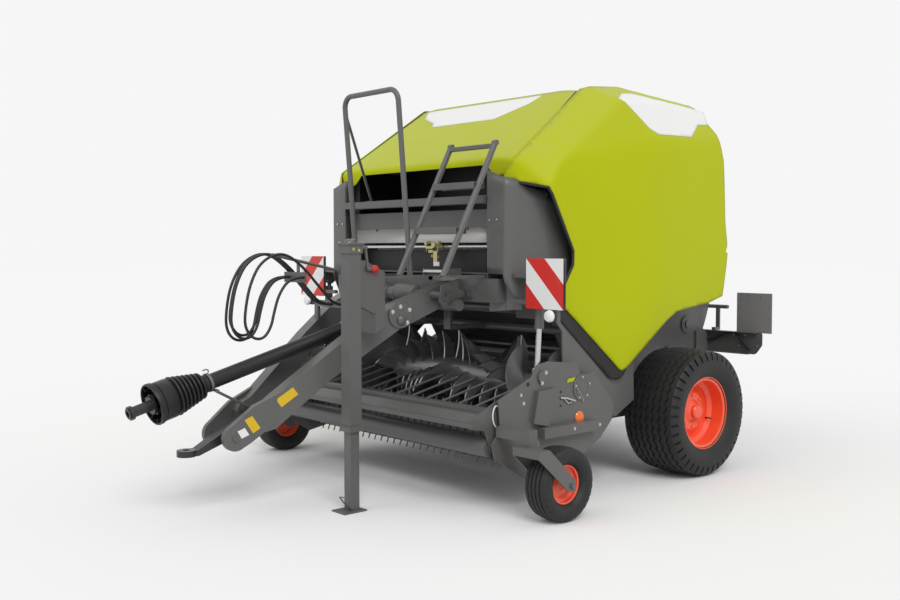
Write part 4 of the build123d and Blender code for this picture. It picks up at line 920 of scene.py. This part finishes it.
# %% Films on hood and doors
HOOD_FILM = [(-665, -722), (463, -716), (422, -797), (231, -933), (-374, -933), (-423, -883), (-590, -814)]
DOOR_FILM = [
    (-570, 2394), (-455, 2440), (-326, 2456), (313, 2381), (301, 2292), (178, 2280), (47, 2190), (-314, 2179),
    (-389, 2209),
]
HOOD_FILM_LIFT, DOOR_FILM_LIFT = 0.0035, 0.0030

film_plan, film_faces = filled(np.array(HOOD_FILM) / 1000, 0.02)
film_z = hood_height(*film_plan.T) + HOOD_FILM_LIFT
film_points = np.stack([film_plan[:, 0], film_plan[:, 1] + AXLE_Y, film_z], axis=1)
film = make("hood_film", [(film_points, film_faces)], film_white, "front_hood")
look(film, Z)
wall_on(film, 0.003)

film_plan, film_faces = filled(np.array(DOOR_FILM) / 1000, 0.015)
film_x = door_skin(*film_plan.T) + DOOR_FILM_LIFT
for side, hand in SIDES:
    skin_piece(
        f"door_film_{side}", film_plan, film_faces, film_x, hand, DOOR_FILM_LIFT - 0.0001, film_white,
        f"side_door_{side}",
    )

# %% [markdown]
# ## Front shields
#
# A folded grey sheet closes the machine beside the net box: a narrow flat face, one bend, and a
# wide face that runs back under the door's edge, with a soft crease to stiffen it. The plan is one
# line, and every column of the grid ends at the height of the outline there.

# %% Shields
# columns: x, station, lower end, upper end, how far the crease stands out
SHIELD = np.array([
    (0.702, -1.405, 1.318, 1.925, 0.0), (0.702, -1.434, 1.318, 1.925, 0.0), (0.832, -1.434, 1.318, 1.880, 0.0),
    (0.845, -1.431, 1.270, 1.878, 0.0), (0.854, -1.420, 1.255, 1.876, 0.0), (0.8745, -1.370, 1.180, 1.868, 0.002),
    (0.881, -1.350, 1.150, 1.850, 0.003), (0.899, -1.300, 1.112, 1.822, 0.004), (0.938, -1.196, 1.112, 1.800, 0.009),
    (0.945, -1.178, 1.112, 1.780, 0.0), (1.002, -1.012, 1.112, 1.680, 0.0),
])
SHIELD_ROWS = 13
SHIELD_CHEEK = [(0.820, 1.270), (0.700, 1.180), (0.700, 1.096), (0.886, 1.112), (0.886, 1.180)]

shield_x, shield_station, shield_low, shield_top, crease = SHIELD.T
up = np.linspace(0, 1, SHIELD_ROWS)[:, None]
shield_z = shield_low * (1 - up) + shield_top * up
shield_y = shield_station - crease * 0.35 + AXLE_Y + 0 * shield_z
for side, hand in SIDES:
    grid = np.stack([hand * (shield_x + crease) + 0 * shield_z, shield_y, shield_z], axis=2)
    sheet = (grid.reshape(-1, 3), lattice(SHIELD_ROWS, len(SHIELD)))
    shield = make(f"shield_{side}", [sheet], frame_paint, "chassis", sharp=50)
    look(shield, -Y, index=1)
    wall_on(shield, 0.003)
    cheek, cheek_faces = slab(SHIELD_CHEEK, spot(0, -1.4075, 0), X, Z, 0.003)
    cheek[:, 1] += 0.085 * np.clip((cheek[:, 0] - 0.700) / 0.190, 0, 1)
    cheek[:, 0] *= hand
    arms = [box((hand * 0.880, -1.398, z), (hand * 1.110, -1.372, z + 0.024)) for z in (1.150, 1.300)]
    foot = [(cheek, cheek_faces)] + arms
    make(f"shield_foot_{side}", foot, frame_paint, "chassis", bevel=0.001)
    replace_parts(shield, f"front_shield_{side}")
    bolts(f"shield_bolts_{side}", [spot(hand * x, -1.4375, 1.633) for x in (0.728, 0.789)], -Y, 0.007, "chassis")

# %% [markdown]
# ## Painted shade inside
#
# Behind the hood's opening the inside of the machine lies in shade. Black sheets in front of the
# chamber, at both sides and below are painted shade for it, and rubber strips close the seams beside
# the hood.

# %% Painted shade sheets
SHADE_SHEET_HALF, SHADE_SHEET_T = 0.733, 0.003
# black sheets that are painted shade: they stand for the shaded inside behind the hood's opening
painted_shade_sheets = [
    box((-SHADE_SHEET_HALF, -0.905, 1.640), (SHADE_SHEET_HALF, -0.900, 2.270)),
    box((-SHADE_SHEET_HALF - SHADE_SHEET_T, -1.285, 1.640), (-SHADE_SHEET_HALF, -0.900, 1.990)),
    box((SHADE_SHEET_HALF, -1.285, 1.640), (SHADE_SHEET_HALF + SHADE_SHEET_T, -0.900, 1.990)),
    box((-SHADE_SHEET_HALF, -1.285, 1.640), (SHADE_SHEET_HALF, -0.900, 1.643)),
]
make("front_painted_shade", painted_shade_sheets, black_plastic_and_painted_shade, "chassis")
for side, hand in SIDES:
    seam = [spot(hand * 0.748, -0.710, 2.436), spot(hand * 0.838, -1.325, 1.975)]
    make(f"hood_seam_{side}", [swept(seam, circle(0.011, 8))], seal_rubber, "chassis")

# %% [markdown]
# ## Warning boards
#
# The boards carry a film of slanting red and white bands. Each band is its own flat piece of the
# square, cut where a 45 degree line crosses the edges, so the border between the colours stays
# exact. A round white lamp sits below each front board, and two red ones below each rear board.

# %% Boards
BOARD = 0.283
RED_BANDS = [[(0, 0), (0.5, 0), (0, 0.5)], [(1, 0), (1, 0.5), (0.5, 1), (0, 1)]]
WHITE_BANDS = [[(0.5, 0), (1, 0), (0, 1), (0, 0.5)], [(1, 0.5), (1, 1), (0.5, 1)]]
FRONT_LENS = [(0.0, 0.034), (0.010, 0.034), (0.018, 0.029), (0.022, 0.015), (0.023, 0.0)]
REAR_LENS = [(0.0, 0.048), (0.012, 0.048), (0.020, 0.040), (0.023, 0.0)]
for side, hand in SIDES:
    front_corner, rear_corner = spot(hand * 1.000, -1.4106, 1.128), spot(hand * 0.880, 0.8904, 0.866)
    for place, corner, body in (("front", front_corner, "chassis"), ("rear", rear_corner, "tailgate")):
        for colour, bands, material in (("red", RED_BANDS, film_red), ("white", WHITE_BANDS, film_white)):
            sheets = [slab(np.array(band) * BOARD, corner, hand * X, Z, 0.0006) for band in bands]
            make(f"board_{colour}_{place}_{side}", sheets, material, body)
    lens = turned(FRONT_LENS, spot(hand * 1.190, -1.416, 1.092), -Y, 32)
    make(f"front_lamp_{side}", [lens], lamp_white, "chassis")
    lenses = [turned(REAR_LENS, spot(hand * x, 0.887, 0.795), Y, 32) for x in (0.93, 0.80)]
    make(f"rear_lamp_{side}", lenses, lamp_red, "tailgate")

# %% [markdown]
# ## Guard of the drive shaft
#
# The shaft turns inside a plastic guard: a plain tube, a clamp, a bellows whose ribs grow towards
# the front, and a wide mouth round the joint, stiffened by fins. The ribs are one profile turned
# about the shaft's axis.

# %% Shaft guard
SHAFT_FOOT, SHAFT_TIP = spot(0, -1.700, 1.050), spot(0, -3.338, 0.606)
shaft_way = unit(SHAFT_TIP - SHAFT_FOOT)
GUARD_TUBE = [
    (0.070, 0.036), (0.070, 0.092), (0.110, 0.092), (0.150, 0.070), (0.200, 0.046), (0.205, 0.043), (1.228, 0.043),
    (1.229, 0.050), (1.250, 0.050), (1.252, 0.056),
]
GUARD_MOUTH = [
    (1.446, 0.103), (1.452, 0.108), (1.518, 0.108), (1.522, 0.103), (1.530, 0.103), (1.534, 0.114),
    (1.554, 0.1155), (1.560, 0.113), (1.560, 0.105), (1.480, 0.100), (1.460, 0.093), (1.330, 0.062),
    (1.300, 0.040), (0.076, 0.034),
]
RIBS, FINS = 7, 10
guard = list(GUARD_TUBE)
for rib in range(RIBS):
    start, low, high = 1.258 + 0.0262 * rib, 0.058 + 0.0062 * rib, 0.075 + 0.0058 * rib
    guard += [(start, low), (start + 0.005, high - 0.003), (start + 0.011, high), (start + 0.017, high - 0.003),
              (start + 0.022, low)]
shell = turned(guard + GUARD_MOUTH, SHAFT_FOOT, shaft_way, 48, closed=True)
bellows = make("guard_bellows", [shell], black_plastic_and_painted_shade, "drive_shaft", sharp=40)
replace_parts(bellows, "shaft_guard")

first, second = basis(shaft_way)
fin = [(0, 0.098), (0.075, 0.1045), (0.070, 0.084), (0.010, 0.068)]
fin_foot = SHAFT_FOOT + 1.480 * shaft_way
fins = [slab(fin, fin_foot, shaft_way, math.cos(t) * first + math.sin(t) * second, 0.004) for t in ring_of(FINS)]
make("guard_fins", fins, black_plastic_and_painted_shade, "drive_shaft")

CLAMP = [(0, 0.043), (0, 0.054), (0.016, 0.054), (0.016, 0.043)]
clamp = turned(CLAMP, SHAFT_FOOT + 1.206 * shaft_way, shaft_way, 40)
foot = SHAFT_FOOT + 1.214 * shaft_way + 0.054 * Z
bends = [(0, 0), (0, 0.016), (0.014, 0.020), (0.034, 0.014)]
lever = swept([foot + up * Z - ahead * Y for ahead, up in bends], circle(0.004, 8))
make("guard_clamp", [clamp, lever], worked_steel, "drive_shaft", bevel=0.001)

# %% [markdown]
# ## Nose of the drawbar and its labels
#
# The beams end in thick rounded cheeks on both sides of the eye bar, with a pin across. The
# outline is an arc round the pin, joined to the beam's upper and lower edge. Two yellow labels
# and a white one lie on the left beam. All are bare.

# %% Bare labels
LABEL_GAP, LABEL_PROUD, LARGE_PROUD = 0.0002, 0.0006, 0.001


def label(name, corners, out, material, proud=LABEL_PROUD):
    """Thin sheet on four corners, a little proud of what carries it."""
    corners, out = np.asarray(corners), unit(out)
    sheet = between(corners + out * LABEL_GAP, corners + out * proud)
    make(name, [sheet], material, "chassis")


large = [spot(.160, -2.540, .624), spot(.184, -2.444, .687), spot(.192, -2.414, .646), spot(.168, -2.510, .579)]
label("label_large", large, (0.97, -0.245, 0.0), label_yellow, LARGE_PROUD)

# %% Drawbar nose
NOSE, NOSE_R, CHEEK_T = np.array([-2.778, 0.430]), 0.072, 0.030
NOSE_EDGE = [(-2.687, 0.398), (-2.600, 0.454), (-2.500, 0.512), (-2.460, 0.600), (-2.512, 0.664), (-2.675, 0.596)]
NOSE_PIN = [(-0.140, 0.0), (-0.140, 0.020), (-0.135, 0.023), (0.135, 0.023), (0.140, 0.020), (0.140, 0.0)]


def on_beam(corners, hand=1.0, lift=0.0025):
    """Corners given in side view, put near the beam's outer face."""
    return np.array([
        spot(hand * (0.1405 + 0.125 * (station + 2.700) + lift), station, z) for station, z in corners
    ])


turn = np.radians(np.linspace(118, 292, 22))
nose_line = [*(NOSE + NOSE_R * np.stack([np.cos(turn), np.sin(turn)], axis=1)), *NOSE_EDGE]
for side, hand in SIDES:
    cheek = between(on_beam(nose_line, hand, 0.0015 - CHEEK_T), on_beam(nose_line, hand, 0.0015))
    make(f"drawbar_nose_{side}", [cheek], frame_paint, "chassis", bevel=0.002)
make("nose_pin", [turned(NOSE_PIN, spot(0, *NOSE), X, 28)], frame_paint, "chassis")

small = on_beam([(-2.730, .527), (-2.684, .546), (-2.636, .474), (-2.680, .449)])
white = on_beam([(-2.771, .468), (-2.728, .484), (-2.703, .443), (-2.747, .426)])
label("label_small", small, (0.992, -0.124, 0.0), label_yellow)
label("label_white", white, (0.992, -0.124, 0.0), film_white)

# %% [markdown]
# ## Ladder
#
# The real ladder has square rails with capped ends, a plain bar across the top and two deep treads
# punched with holes. The treads are open grids of strips, which is what a punched tread looks like
# from a few steps away.

# %% Ladder
LADDER_X = (0.438, 0.818)
LADDER_FOOT, LADDER_TOP = np.array([-1.880, 1.310]), np.array([-1.482, 2.068])
TREADS, TREAD_STRIPS, CROSS_STEP = (0.36, 0.70), (-0.033, -0.014, 0.002, 0.018, 0.034), 0.0258
square = [(-1, -0.75), (-0.75, -1), (0.75, -1), (1, -0.75), (1, 0.75), (0.75, 1), (-0.75, 1), (-1, 0.75)]
square = 0.014 * np.array(square)
climb = unit(LADDER_TOP - LADDER_FOOT)
cap_at, bar_at = LADDER_TOP + climb * 0.004, LADDER_TOP - climb * 0.016
parts = []
for x in LADDER_X:
    parts.append(swept([spot(x, *LADDER_FOOT), spot(x, *(LADDER_TOP + climb * 0.014))], square, hint=X))
    parts.append(rod(spot(x - 0.016, *cap_at), X, 0.032, 0.016))
parts.append(swept([spot(x, *bar_at) for x in LADDER_X], square * 0.95))
low, high = LADDER_X[0] + 0.010, LADDER_X[1] - 0.010
for share in TREADS:
    station, z = LADDER_FOOT + share * (LADDER_TOP - LADDER_FOOT)
    for edge in (-0.036, 0.041):
        parts.append(box((low, station + edge, z - 0.034), (high, station + edge + 0.003, z + 0.004)))
    for strip in TREAD_STRIPS:
        parts.append(box((low, station + strip, z - 0.002), (high, station + strip + 0.007, z + 0.004)))
    for x in np.arange(low, high - 0.004, CROSS_STEP):
        parts.append(box((x, station - 0.033, z - 0.002), (x + 0.008, station + 0.041, z + 0.0035)))
for x, rear in ((LADDER_X[0], -1.300), (LADDER_X[1], -1.800)):
    parts.append(box((x - 0.016, LADDER_FOOT[0] - 0.014, 1.290), (x + 0.016, rear, 1.312)))
parts.append(box((0.642, -1.832, 1.290), (0.834, -1.800, 1.312)))
parts.append(box((0.642, -1.832, 1.290), (0.678, -1.300, 1.312)))
ladder = make("access_ladder", parts, frame_paint, "chassis", bevel=0.0012)
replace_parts(ladder, "ladder")

# %% [markdown]
# ## Net box
#
# In front of the roll hangs a pale lid on dark screws, with a bright rod below it and a plated
# tensioner with its spring in the middle. A black sheet hides the roll except at its left end,
# where the wound net shows white.

# %% Net box
LID_LINE = [(-1.3735, 1.592), (-1.4035, 1.506), (-1.4025, 1.503), (-1.3660, 1.503)]
LID_X, LID_SCREW_X = (-0.672, 0.676), (-0.420, -0.02, 0.478)
ROLL_STATION, ROLL_Z = -1.180, 1.412
ROLL = [(0, 0.021), (0, 0.060), (0.004, 0.077), (1.240, 0.077), (1.244, 0.060), (1.244, 0.021)]
lid_points = np.array([spot(x, station, z) for x in LID_X for station, z in LID_LINE])
lid_faces = [[0, 1, 5, 4], [1, 2, 6, 5], [2, 3, 7, 6]]
net_lid = make("net_lid", [(lid_points, lid_faces)], lid_grey, "chassis")
look(net_lid, -Y)
wall_on(net_lid, 0.002, offset=1.0)
screws = [part for x in LID_SCREW_X for part in hex_head(spot(x, -1.3765, 1.586), (0, -0.94, 0.33), 0.009)]
make("lid_screws", screws, black_plastic_and_painted_shade, "chassis")
make("net_rod", [rod(spot(-0.687, -1.378, 1.478), X, 1.374, 0.0125, 24)], bright_steel, "chassis")
cover = [
    box((-0.688, -1.300, 1.3225), (0.555, -1.297, 1.460)), box((-0.688, -1.300, 1.457), (0.555, -1.100, 1.460)),
]
make("roll_cover", cover, black_plastic_and_painted_shade, "chassis")
wound = turned(ROLL, spot(-0.600, ROLL_STATION, ROLL_Z), X, 48, closed=True)
core = rod(spot(-0.688, ROLL_STATION, ROLL_Z), X, 1.376, 0.020, 24)
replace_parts(make("net_wound", [wound, core], net_wrap, "chassis"), "net_roll")

# opposite corners of the tensioner's plates; then its pins: foot, direction, length, radius, sides
PLATES = [
    ((0.150, -1.404, 1.502), (0.262, -1.398, 1.512)), ((0.150, -1.432, 1.446), (0.156, -1.398, 1.512)),
    ((0.256, -1.432, 1.446), (0.262, -1.398, 1.512)), ((0.168, -1.430, 1.440), (0.210, -1.424, 1.478)),
    ((0.222, -1.436, 1.380), (0.258, -1.430, 1.452)), ((0.196, -1.428, 1.484), (0.250, -1.420, 1.496)),
]
PINS = [
    ((0.172, -1.440, 1.470), X, 0.060, 0.013, 16), ((0.236, -1.452, 1.486), Y, 0.016, 0.017, 20),
    ((0.166, -1.452, 1.496), Y, 0.018, 0.010, 16), ((0.146, -1.418, 1.500), X, 0.120, 0.006, 12),
]
SPRING_FOOT, SPRING_LONG, SPRING_R, SPRING_TURNS = spot(0.188, -1.412, 1.418), 0.046, 0.013, 7
tensioner = [box(*corners) for corners in PLATES] + [rod(spot(*foot), *rest) for foot, *rest in PINS]
turn = np.linspace(0, 2 * np.pi * SPRING_TURNS, 120)[:, None]
spring = SPRING_FOOT + SPRING_LONG * turn / turn[-1] * X + SPRING_R * (np.cos(turn) * Y + np.sin(turn) * Z)
tensioner.append(swept(spring, circle(0.0022, 6)))
make("net_tensioner", tensioner, zinc_yellow, "chassis", bevel=0.0008)
clip = box((0.232, -1.444, 1.358), (0.282, -1.436, 1.384))
make("net_clip", [clip], film_white, "chassis", bevel=0.001)

# %% [markdown]
# ## Worn edges of the rotor
#
# Crop polishes the arms' edges to bare steel, and those bright curved lines are the first thing
# the eye finds in the intake. Each edge is a thin strip that follows the arm's own arcs, which are
# the circles through the same three points as in the solid.

# %% Rotor edges
ROTOR_STATION, ROTOR_Z = -1.020, 0.650
STARS, STAR_PITCH, STAR_TWIST = 13, 0.092, 14.0
TIP_R, TUBE_R = 0.275, 0.095
EDGE = [(-0.0012, -0.0046), (0.0012, -0.0046), (0.0012, 0.0046), (-0.0012, 0.0046)]


def on_ring(degrees, radius):
    """Station and height on a circle about the rotor."""
    turn = math.radians(degrees)
    return ROTOR_STATION + radius * math.cos(turn), ROTOR_Z + radius * math.sin(turn)


edges = []
for star in range(STARS):
    from_middle = star - (STARS - 1) / 2
    for arm in range(4):
        start = STAR_TWIST * abs(from_middle) + 90 * arm
        tip = on_ring(start, TIP_R)
        back = arc_through(on_ring(start - 46, TUBE_R * 0.9), on_ring(start - 24, TIP_R * 0.60), tip, 9)[1:]
        front = arc_through(tip, on_ring(start + 1, TIP_R * 0.66), on_ring(start + 24, TUBE_R * 0.9), 9)[:-1]
        for line in (back, front):
            path = np.array([spot(STAR_PITCH * from_middle, station, z) for station, z in line])
            edges.append(swept(path, EDGE, hint=np.cross(X, path[1] - path[0])))
make("rotor_edges", edges, edge_steel, "feed_rotor")

# %% [markdown]
# ## Side plates of the pickup
#
# Both side plates carry bolts, holes, a bearing cover, a reflector and a lever with its chain. The
# left one has a small tag as well, and a rope hangs from the wind guard beside it.

# %% Bolts and fittings on the side plates
PLATE_BOLTS = [(1.092, -1.343, 0.764), (1.092, -1.374, 0.706), (1.080, -1.532, 0.651), (1.080, -1.511, 0.602)]
PLATE_HOLES = [(-1.475, 0.706, 0.013), (-1.205, 0.640, 0.008), (-1.205, 0.600, 0.008), (-1.205, 0.560, 0.008)]
COVER = [(-0.004, 0), (-0.004, 0.078), (0.004, 0.078), (0.0055, 0.0765), (0.0055, 0.0)]
COVER_BOLT_R, COVER_BOLTS_AT = 0.062, np.array([0.3, 1.6, 2.9, 4.2, 5.4])
REFLECTOR = [(0, 0), (0, 0.037), (0.004, 0.037), (0.009, 0.032), (0.011, 0)]
LEVERS = [
    ([(1.084, -1.210, 0.606), (1.098, -1.170, 0.602), (1.098, -1.100, 0.580)], 0.006, 10),
    ([(1.083, -1.180, 0.600), (1.090, -1.150, 0.570), (1.090, -1.120, 0.574)], 0.004, 8),
]
LINKS, LINK_LONG, LINK_WIDE, LINK_WIRE = 11, 0.0075, 0.0045, 0.0016
CHAIN_WAY = 0.60 * Y - 0.80 * Z


def chain(foot, hand):
    """Links from a foot along a slope, every other one turned by a quarter."""
    turn = ring_of(12)[:, None]
    links = []
    for number in range(LINKS):
        odd = number % 2
        middle = foot + hand * 0.003 * odd * X + number / (LINKS - 1) * (0.060 * Y - 0.080 * Z)
        across = X if odd else np.cross(CHAIN_WAY, X)
        ring = middle + LINK_LONG * np.cos(turn) * CHAIN_WAY + LINK_WIDE * np.sin(turn) * across
        links.append(swept(np.vstack([ring, ring[:2]]), circle(LINK_WIRE, 6)))
    return links


for side, hand in SIDES:
    out = hand * X
    places = [spot(hand * x, station, z) for x, station, z in PLATE_BOLTS]
    bolts(f"plate_bolts_{side}", places, out, (0.012, 0.012, 0.010, 0.011), "pickup")
    # the holes are thin black discs: painted shade where the holes lie
    holes = [rod(spot(hand * 1.080, station, z), out, 0.0008, radius, 20) for station, z, radius in PLATE_HOLES]
    make(f"plate_holes_painted_shade_{side}", holes, black_plastic_and_painted_shade, "pickup")
    cover = turned(COVER, spot(hand * 1.081, ROTOR_STATION, ROTOR_Z), out, 40)
    make(f"bearing_cover_{side}", [cover], frame_paint, "pickup")
    places = ring_places(spot(hand * 1.0865, ROTOR_STATION, ROTOR_Z), COVER_BOLT_R, COVER_BOLTS_AT)
    bolts(f"cover_bolts_{side}", places, out, 0.007, "pickup")
    lens = turned(REFLECTOR, spot(hand * 1.0805, -1.045, 0.476), out, 32)
    make(f"side_reflector_{side}", [lens], reflector_orange, "pickup")
    places = [spot(hand * 1.140, station, 0.428) for station in (-1.151, -0.930)]
    bolts(f"rail_bolts_{side}", places, out, 0.010, "pickup")
    levers = [
        swept([spot(hand * x, station, z) for x, station, z in line], circle(radius, sides))
        for line, radius, sides in LEVERS
    ]
    make(f"plate_lever_{side}", levers, bright_steel, "pickup")
    links = chain(spot(hand * 1.086, -1.073, 0.650), hand)
    make(f"pin_chain_{side}", links, bright_steel, "pickup")

# %% Rope and tag
ROPE = [(1.062, -1.690, 0.600), (1.075, -1.735, 0.640), (1.075, -1.775, 0.520), (1.062, -1.690, 0.478)]
t = np.linspace(0, 1, 25)[:, None]
a, b, c, d = (spot(*corner) for corner in ROPE)
rope_path = (1 - t) ** 3 * a + 3 * t * (1 - t) ** 2 * b + 3 * t**2 * (1 - t) * c + t**3 * d
make("hung_rope", [swept(rope_path, circle(0.0035, 8))], film_white, "wind_guard")
TAG = [(1.082, -1.157, 0.690), (1.082, -1.145, 0.712), (1.082, -1.085, 0.716), (1.082, -1.100, 0.694)]
tag = np.array([spot(*corner) for corner in TAG])
make("yellow_tag", [between(tag, tag + 0.004 * X)], body_paint, "pickup")

# %% [markdown]
# ## Aprons below the doors
#
# A wide rubber strip hangs below each door's lower front edge and closes the gap to the frame. It
# lies just behind the door's skin and ends in a round.

# %% Rubber aprons
APRON = [
    (-1132, 1140), (-1181, 1078), (-1120, 1018), (-721, 680), (-700, 667), (-665, 661), (-632, 668), (-606, 690),
    (-590, 735), (-600, 752), (-640, 736), (-672, 752),
]
APRON_BEHIND, APRON_LEAST_X = 0.007, 1.030
apron_plan, apron_faces = filled(np.array(APRON) / 1000, 0.02)
apron_x = np.clip(door_skin(*apron_plan.T) - APRON_BEHIND, APRON_LEAST_X, None)
for side, hand in SIDES:
    skin_piece(
        f"door_apron_{side}", apron_plan, apron_faces, apron_x, hand, 0.005, seal_rubber, f"side_door_{side}",
    )

# %% [markdown]
# ## Gearbox dressing
#
# The gearbox's left side has a cast cover with a ribbed collar, a tube for the cross shaft that
# ends in a boss on a three-cornered plate, a bright rod above it and a round flange with bolts on
# the drawbar's beam.

# %% Gearbox
GEAR = (-1.600, 1.190)
GEAR_COVER = [
    (-0.060, 0.0), (-0.060, 0.044), (-0.048, 0.050), (-0.048, 0.040), (-0.030, 0.040), (-0.030, 0.050),
    (-0.018, 0.050), (-0.018, 0.040), (0.0, 0.040), (0.0, 0.052), (0.012, 0.052), (0.012, 0.044),
    (0.090, 0.046), (0.098, 0.070), (0.108, 0.072), (0.112, 0.066), (0.240, 0.060), (0.262, 0.048),
    (0.272, 0.026), (0.500, 0.021), (0.500, 0.030), (0.526, 0.030), (0.526, 0.013), (0.500, 0.012), (0.500, 0.0),
]
HANGER = [
    (-1.640, 1.150), (-1.600, 1.110), (-1.560, 1.150), (-1.440, 1.180), (-1.440, 1.210), (-1.580, 1.262),
    (-1.625, 1.255),
]
collar = turned(GEAR_COVER, spot(0, *GEAR), X, 40)
hanger = slab(HANGER, spot(0.508, 0, 0), Y, Z, 0.010)
saddle = box((-0.040, -1.560, 1.150), (0.240, -1.430, 1.200))
make("gear_cover", [collar, hanger, saddle], frame_paint, "chassis", bevel=0.001)
bolts("gear_cover_bolts", ring_places(spot(0.112, *GEAR), 0.060, ring_of(6, 0.4)), X, 0.007, "chassis")
upper_rod = rod(spot(0.241, -1.520, 1.326), X, 0.225, 0.014, 24)
make("bright_rod", [upper_rod], bright_steel, "chassis")
holders = [box((x, -1.530, 1.300), (x + 0.010, -1.430, 1.346)) for x in (0.232, 0.464)]
make("rod_holders", holders, frame_paint, "chassis", bevel=0.001)
stub = rod(spot(0.562, -1.402, 1.194), -Y, 0.040, 0.020, 28)
make("silver_stub", [stub], bright_steel, "chassis")

# %% Flange on the beam
FLANGE = [(-0.004, 0), (-0.004, 0.078), (0.008, 0.078), (0.010, 0.076), (0.010, 0.0)]
BUMP = [(0.008, 0.030), (0.022, 0.028), (0.030, 0.018), (0.032, 0.0)]
FLANGE_BOLTS = [(-0.005, 0.050), (0.055, 0.030), (-0.055, 0.020), (0.040, -0.045)]
flange_at, flange_out, flange_way = spot(0.356, -1.805, 1.075), 0.970 * X - 0.243 * Y, 0.243 * X + 0.970 * Y
flange = turned(FLANGE, flange_at, flange_out, 40)
bump = turned(BUMP, flange_at - 0.030 * Z, flange_out, 24)
make("beam_flange", [flange, bump], frame_paint, "chassis")
places = [flange_at + 0.010 * flange_out + flange_way * ahead + up * Z for ahead, up in FLANGE_BOLTS]
bolts("flange_bolts", places, flange_out, 0.012, "chassis")

# %% [markdown]
# ## Jack head
#
# The crank's housing has a bolted lid, a plated fastener at its side and a red grip. The foot has
# a wire handle.

# %% Jack head
JACK_X, JACK_STATION, LID_HALF, LID_LOW, LID_TOP, LID_BOLT = 0.446, -2.230, 0.056, 1.486, 1.499, 0.044
DOME = [(0, 0.0), (0, 0.036), (0.016, 0.032), (0.022, 0.020), (0.023, 0.0)]
GRIP = [(0, 0.0), (0, 0.019), (0.004, 0.021), (0.034, 0.021), (0.038, 0.019), (0.038, 0.0)]
HANDLE = [
    (0.470, -2.262, 0.014), (0.475, -2.330, 0.090), (0.478, -2.335, 0.098), (0.508, -2.322, 0.098),
    (0.512, -2.316, 0.090), (0.486, -2.262, 0.014),
]
lid = box(
    (JACK_X - LID_HALF, JACK_STATION - LID_HALF, LID_LOW), (JACK_X + LID_HALF, JACK_STATION + LID_HALF, LID_TOP)
)
dome = turned(DOME, spot(JACK_X, JACK_STATION, 1.498), Z, 28)
make("jack_lid", [lid, dome], frame_paint, "chassis", bevel=0.0015)
corners = [spot(JACK_X + a * LID_BOLT, JACK_STATION + b * LID_BOLT, LID_TOP) for a in (-1, 1) for b in (-1, 1)]
bolts("jack_lid_bolts", corners, Z, 0.007, "chassis")
fasteners = [spot(JACK_X + 0.0485, JACK_STATION + ahead, z) for ahead, z in ((-0.018, 1.462), (0.020, 1.456))]
bolts("jack_side_bolts", fasteners, X, 0.009, "chassis", zinc_yellow)
make("crank_grip", [turned(GRIP, spot(0.466, -2.104, 1.352), Y, 24)], cap_red, "chassis")
handle = swept([spot(*bend) for bend in HANDLE], circle(0.0045, 8))
make("foot_handle", [handle], worked_steel, "jack_leg")

# %% [markdown]
# ## Rear light beam
#
# A black cable hangs in front of the beam and runs out to the lamps, and small bolts hold the
# boards and the beam's holders.

# %% Cable and bolts at the rear
BEAM_STATION, BOARD_STATION, CABLE_R = 0.880, 0.8865, 0.008
CABLE = [
    (0.600, 0.800, 1.030), (0.604, 0.840, 0.900), (0.622, 0.868, 0.815), (0.665, 0.870, 0.790),
    (0.745, 0.870, 0.822), (0.820, 0.870, 0.860), (0.900, 0.870, 0.858), (0.945, 0.870, 0.790),
    (1.000, 0.874, 0.748),
]
BEAM_BOLTS = [
    (0.549, 0.827), (0.549, 0.757), (0.856, 0.846), (0.900, 0.766), (0.956, 0.847), (1.055, 0.849), (1.051, 0.772),
]
BOARD_BOLTS = [(0.903, 1.047), (0.904, 0.969), (1.146, 1.053), (1.146, 0.972), (0.978, 1.134), (1.075, 1.131)]
for side, hand in SIDES:
    cable = free_line(f"lamp_cable_{side}", [spot(hand * x, station, z) for x, station, z in CABLE], CABLE_R)
    cable.data.materials.append(hose_rubber)
    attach(cable, "tailgate")
    for name, rows, station, size in (
        (f"beam_bolts_{side}", BEAM_BOLTS, BEAM_STATION, 0.006),
        (f"board_bolts_{side}", BOARD_BOLTS, BOARD_STATION, 0.005),
    ):
        bolts(name, [spot(hand * x, station, z) for x, z in rows], -Y, size, "tailgate")

# %% [markdown]
# ## Sizes and the end
#
# How far the dressed baler reaches past the box of the solids is printed. The dressed baler
# has to stay inside the box of the solids.

# %% Finish
seen_low, seen_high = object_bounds()
growth = np.maximum(np.array(cad_low) - seen_low, np.array(seen_high) - cad_high)
print("grows by mm:", [round(1000 * float(v)) for v in growth])
bpy.context.scene.view_settings.view_transform = "Standard"
